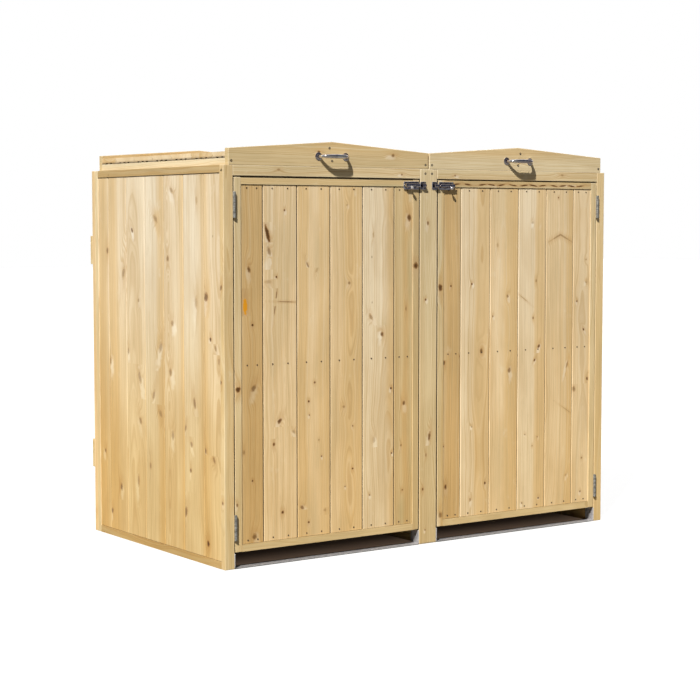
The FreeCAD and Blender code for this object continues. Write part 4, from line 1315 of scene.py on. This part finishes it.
bolt_level = door_high.z - bolt_drop
bolt_depth = carcass_front - bolt_axis_height
bolt_start = door_high.x - 0.0015 - bolt_plate_length
barrel_start = bolt_start + 0.0025
barrel_place = turned((0, bolt_depth, bolt_level))
knob_x = door_high.x - knob_set_back
slot = (knob_x - slot_play - barrel_start, knob_x + bolt_travel + slot_play - barrel_start)
rod_length = door_high.x - 0.002 - barrel_start
shaft = [
    (0, 0), (0, 0.0033), (0.0007, bolt_radius), (rod_length - 0.0012, bolt_radius), (rod_length, 0.003),
    (rod_length, 0)]
knob = [(0, 0), (0, 0.0024), (0.0092, 0.0024), (0.0098, 0.0031)]
for step in range(12):
    turn = math.radians(40 + step * 140 / 11)
    knob.append((0.014 - knob_round * math.cos(turn), max(knob_round * math.sin(turn), 0.0)))
knob_out = Vector((0, -math.cos(knob_angle), -math.sin(knob_angle)))
for side, _, flip in halves:
    shapes = [
        placed(pressed_plate(bolt_plate_length), turned((bolt_start, carcass_front, bolt_level))),
        placed(slotted_barrel(barrel_start, bolt_plate_length - 0.005, slot), barrel_place),
        *plate_screws(bolt_start, bolt_plate_length, 0.005)]
    fixed_together(
        f"{side}_bolt_case", all_placed(shapes, flip), bright_plate, side + "_door", "chrome",
        f"{side}_bolt_barrel")
    shapes = [
        placed(lathed(shaft), turned((barrel_start, bolt_depth, bolt_level), backwards, upwards, rightwards)),
        # The knob is painted bright as a highlight
        placed(mark(lathed(knob), "wear_and_painted_light", 0.4), turned(
            (knob_x, bolt_depth, bolt_level), rightwards, knob_out.cross(rightwards), knob_out))]
    fixed_together(
        f"{side}_bolt_shaft", all_placed(shapes, flip), polished_plate, side + "_bolt", "chrome",
        f"{side}_bolt_rod")

keep_start = post_low.x + 0.001
keeps = [
    placed(pressed_plate(keep_length), turned((keep_start, carcass_front, bolt_level))),
    placed(slotted_barrel(keep_start + 0.002, 0.014), barrel_place)]
fixed_together("bolt_keep_loops", keeps + mirrored(keeps), bright_plate, "carcass", "chrome", "bolt_keeps")


# The hinges: steel butt hinges, zinc plated, with three screws in each leaf and five knuckles round
# a headed pin; those of the doors stand in the gap beside the post, those of the lids on the back
hinge_length = 0.076
hinge_reach = 0.025
leaf_thickness = 0.0015
leaf_corner = 0.003
leaf_arris = 0.0003
leaf_gap = 0.00025
knuckle_radius = 0.0045
knuckle_ease = 0.0004
knuckle_clearance = 0.0005
knuckle_play = 0.0003
pin_radius = 0.0025
pin_play = 0.00005
lower_hinge_rise = 0.036
upper_hinge_drop = 0.044
lid_hinge_from_middle = 0.24
zinc_plate = plated(
    "zinc_plate", (0.42, 0.42, 0.40, 1), (0.20, 0.195, 0.175, 1), 0.42, 0.65, 0.008, (0.62, 0.61, 0.58, 1))


def hinge_half(offset, start, reach, moving):
    """One leaf with its knuckles and screws. The pin is along Z, and the leaf lies along Y at X = offset."""
    x0, x1 = sorted((offset, offset + math.copysign(leaf_thickness, offset)))
    leaf = stick(rectangle(x0, start, x1, start + reach), hinge_length)
    corners = [
        edge for edge in leaf.edges if all(abs(vert.co.y - start - reach) < 1e-6 for vert in edge.verts)
        and abs(edge.verts[0].co.x - edge.verts[1].co.x) > leaf_thickness / 2]
    shapes = [smoothed(eased(bevelled(leaf, corners, leaf_corner, 4), leaf_arris))]
    pitch = hinge_length / 5
    for index in range(int(moving), 5, 2):
        low = index * pitch + (knuckle_play if index > 0 else 0.0)
        high = (index + 1) * pitch - (knuckle_play if index < 4 else 0.0)
        bore = pin_radius + pin_play
        edge_radius = knuckle_radius - knuckle_ease
        knuckle = lathed([
            (low, bore), (low, edge_radius), (low + knuckle_ease, knuckle_radius),
            (high - knuckle_ease, knuckle_radius), (high, edge_radius), (high, bore)], bored=True)
        # The knuckles' ends are painted dark as the shade in the seams between them
        mark(knuckle, "wear_and_painted_light", -0.95, lambda face, middle: abs(face.normal.z) > 0.3)
        shapes += [smoothed(shifted(stick(rectangle(x0, 0, x1, start), high - low), 0, 0, low)), knuckle]
    away = rightwards * math.copysign(1.0, offset)
    for index in range(3):
        y = start + reach / 2 + (0.004 if index % 2 else -0.004)
        place = (offset, y, hinge_length * (index + 0.5) / 3)
        shapes.append(screw_at(place, away, 0.003, 0.0016, 0.018, 0.0001))
    return shapes


def hinge_pin():
    head = [(0, 0.0037), (0.0003, 0.004), (0.0009, 0.0038), (0.0013, 0.0030), (0.0015, 0.0018), (0.0015, 0)]
    return lathed([(0, 0), (0, 0.0021), (0.0004, pin_radius), (hinge_length, pin_radius)] + [
        (hinge_length + height, radius) for height, radius in head])


pin_offset = knuckle_radius + knuckle_clearance
hinge_axis_x = (rails_low.x + door_low.x) / 2
fixed_leaves = []
for side, _, flip in halves:
    leaves = []
    for low in (door_low.z + lower_hinge_rise, door_high.z - upper_hinge_drop - hinge_length):
        place = flip @ turned((hinge_axis_x, carcass_front - pin_offset, low))
        half = hinge_half(-leaf_gap, pin_offset, hinge_reach, False)
        fixed_leaves += all_placed([*half, hinge_pin()], place)
        leaves += all_placed(hinge_half(leaf_gap, pin_offset, hinge_reach, True), place)
    body = side + "_door"
    fixed_together(body + "_butt_hinges", leaves, zinc_plate, body, "zinc_plate", body + "_hinge_leaves")
fixed_together(
    "post_butt_hinges", fixed_leaves, zinc_plate, "carcass", "zinc_plate", "door_hinge_post_leaves")

leaf_face = -(pin_offset - leaf_thickness)
fixed_leaves = []
for side, _, flip in halves:
    leaves = []
    for middle in (lid_middle - lid_hinge_from_middle, lid_middle + lid_hinge_from_middle):
        corner = (middle - hinge_length / 2, carcass_back + pin_offset, carcass_height)
        place = flip @ turned(corner, backwards, upwards, rightwards)
        half = hinge_half(leaf_face, -knuckle_radius, -hinge_reach, False)
        fixed_leaves += all_placed([*half, hinge_pin()], place)
        leaves += all_placed(hinge_half(leaf_face, knuckle_radius, hinge_reach, True), place)
    body = side + "_lid"
    fixed_together(body + "_butt_hinges", leaves, zinc_plate, body, "zinc_plate", body + "_hinge_leaves")
fixed_together("back_butt_hinges", fixed_leaves, zinc_plate, "carcass", "zinc_plate", "lid_hinge_back_leaves")


# The threshold straps: a flat bar of galvanised steel on the ground across each doorway, bent up at
# both ends and screwed to the posts, that holds the feet of the panels together
strap_low, strap_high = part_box("threshold_straps")
strap_thickness = 0.0025
strap_arris = 0.0004
strap_depth = strap_high.y - strap_low.y
strap_inner_bend = 0.002
strap_outer_bend = 0.0044
galvanised = plated(
    "galvanised_steel", (0.60, 0.575, 0.57, 1), (0.38, 0.365, 0.375, 1), 0.45, 0.6, 0.012,
    (0.86, 0.85, 0.84, 1))
x0 = strap_low.x
x1 = post_low.x
top = strap_high.z
inner_x0 = x0 + strap_thickness
inner_x1 = x1 - strap_thickness
strap = stick([
    (x0, top), (x0, 0), (x1, 0), (x1, top), (inner_x1, top), (inner_x1, strap_thickness),
    (inner_x0, strap_thickness), (inner_x0, top)], strap_depth)
for inside, radius in ((True, strap_inner_bend), (False, strap_outer_bend)):
    bends = [
        edge for edge in strap.edges
        if abs(edge.verts[0].co.z - edge.verts[1].co.z) > strap_depth / 2
        and edge.verts[0].co.y < strap_thickness * 1.2 and (edge.verts[0].co.y > 0.0001) == inside]
    bevelled(strap, bends, radius, 5)
smoothed(eased(strap, strap_arris))
# The strap's front edge along the ground is painted dark as the shade under it
cut(strap, backwards * strap_thickness * 2, backwards)
mark(strap, "wear_and_painted_light", -0.9, lambda face, middle: middle.z < 0.0002 and middle.y < strap_thickness * 2)
placed(strap, turned((0, strap_low.y, 0), rightwards, upwards, backwards))
straps = [strap, *mirrored([strap])]
fixed_together("threshold_bars", straps, galvanised, "carcass", "galvanised", "threshold_straps")


# The screws and nails: countersunk cross-headed screws, dulled by the weather, hold the battens, the
# gables and the rails; round-headed ones hold the straps; plain wire nails hold the door boards
weathered_steel = plated(
    "weathered_steel", (0.13, 0.11, 0.085, 1), (0.075, 0.058, 0.042, 1), 0.5, 0.6, 0.004,
    (0.30, 0.28, 0.25, 1))
rusted_wire = plated(
    "rusted_wire", (0.12, 0.075, 0.04, 1), (0.07, 0.04, 0.02, 1), 0.65, 0.25, 0.002, (0.2, 0.15, 0.1, 1))
timber_screw = (0.004, 0.002, 0.050)
strap_screw = (0.004, 0.002, 0.022, 0.0018)
strap_screw_height = 0.030
post_place = (-frame_thickness * 2 / 5, carcass_front, carcass_height - side_lip * 2 / 3)
rail_place = (carcass_left, carcass_front + frame_thickness / 3, (rails_low.z + carcass_height) / 2)
screws = [
    screw_at(post_place, backwards, *timber_screw), screw_at(rail_place, rightwards, *timber_screw, 0.0)]
for x, direction in ((inner_x0, -rightwards), (inner_x1, rightwards)):
    place = (x, carcass_front + strap_depth * 2 / 5, strap_screw_height)
    screws.append(screw_at(place, direction, *strap_screw))
screws += plate_screws(keep_start, keep_length, keep_length / 4)
screws += mirrored(screws)
for batten in ("back_lower_batten", "back_upper_batten"):
    low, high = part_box(batten)
    middle = (low.z + high.z) / 2
    for x in (carcass_left + frame_thickness / 2, 0.0, -carcass_left - frame_thickness / 2):
        for z in (middle - (high.z - low.z) / 4, middle + (high.z - low.z) / 4):
            screws.append(screw_at((x, high.y, z), -backwards, *timber_screw, 0.0))
fixed_together("carcass_fixings", screws, weathered_steel, "carcass", "fixings", "carcass_screws")

for side, _, flip in halves:
    screws = [
        screw_at((x, y, z), direction, *timber_screw)
        for y, direction in ((lid_low.y, backwards), (carcass_back, -backwards))
        for x, z in (
            (lid_low.x + batten_width / 2, lid_low.z + gable_end / 4),
            (lid_high.x - batten_width / 2, lid_low.z + gable_end / 4),
            (lid_middle, under_roof(lid_middle) - rafter_depth * 2 / 3),
            (lid_middle - roof_thickness / 2, lid_high.z - roof_top_drop - roof_thickness / 2))]
    fixed_together(
        f"{side}_lid_fixings", all_placed(screws, flip), weathered_steel, side + "_lid", "fixings",
        f"{side}_lid_screws")
    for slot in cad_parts[f"{side}_door_nails"].material_slots:
        slot.material = rusted_wire
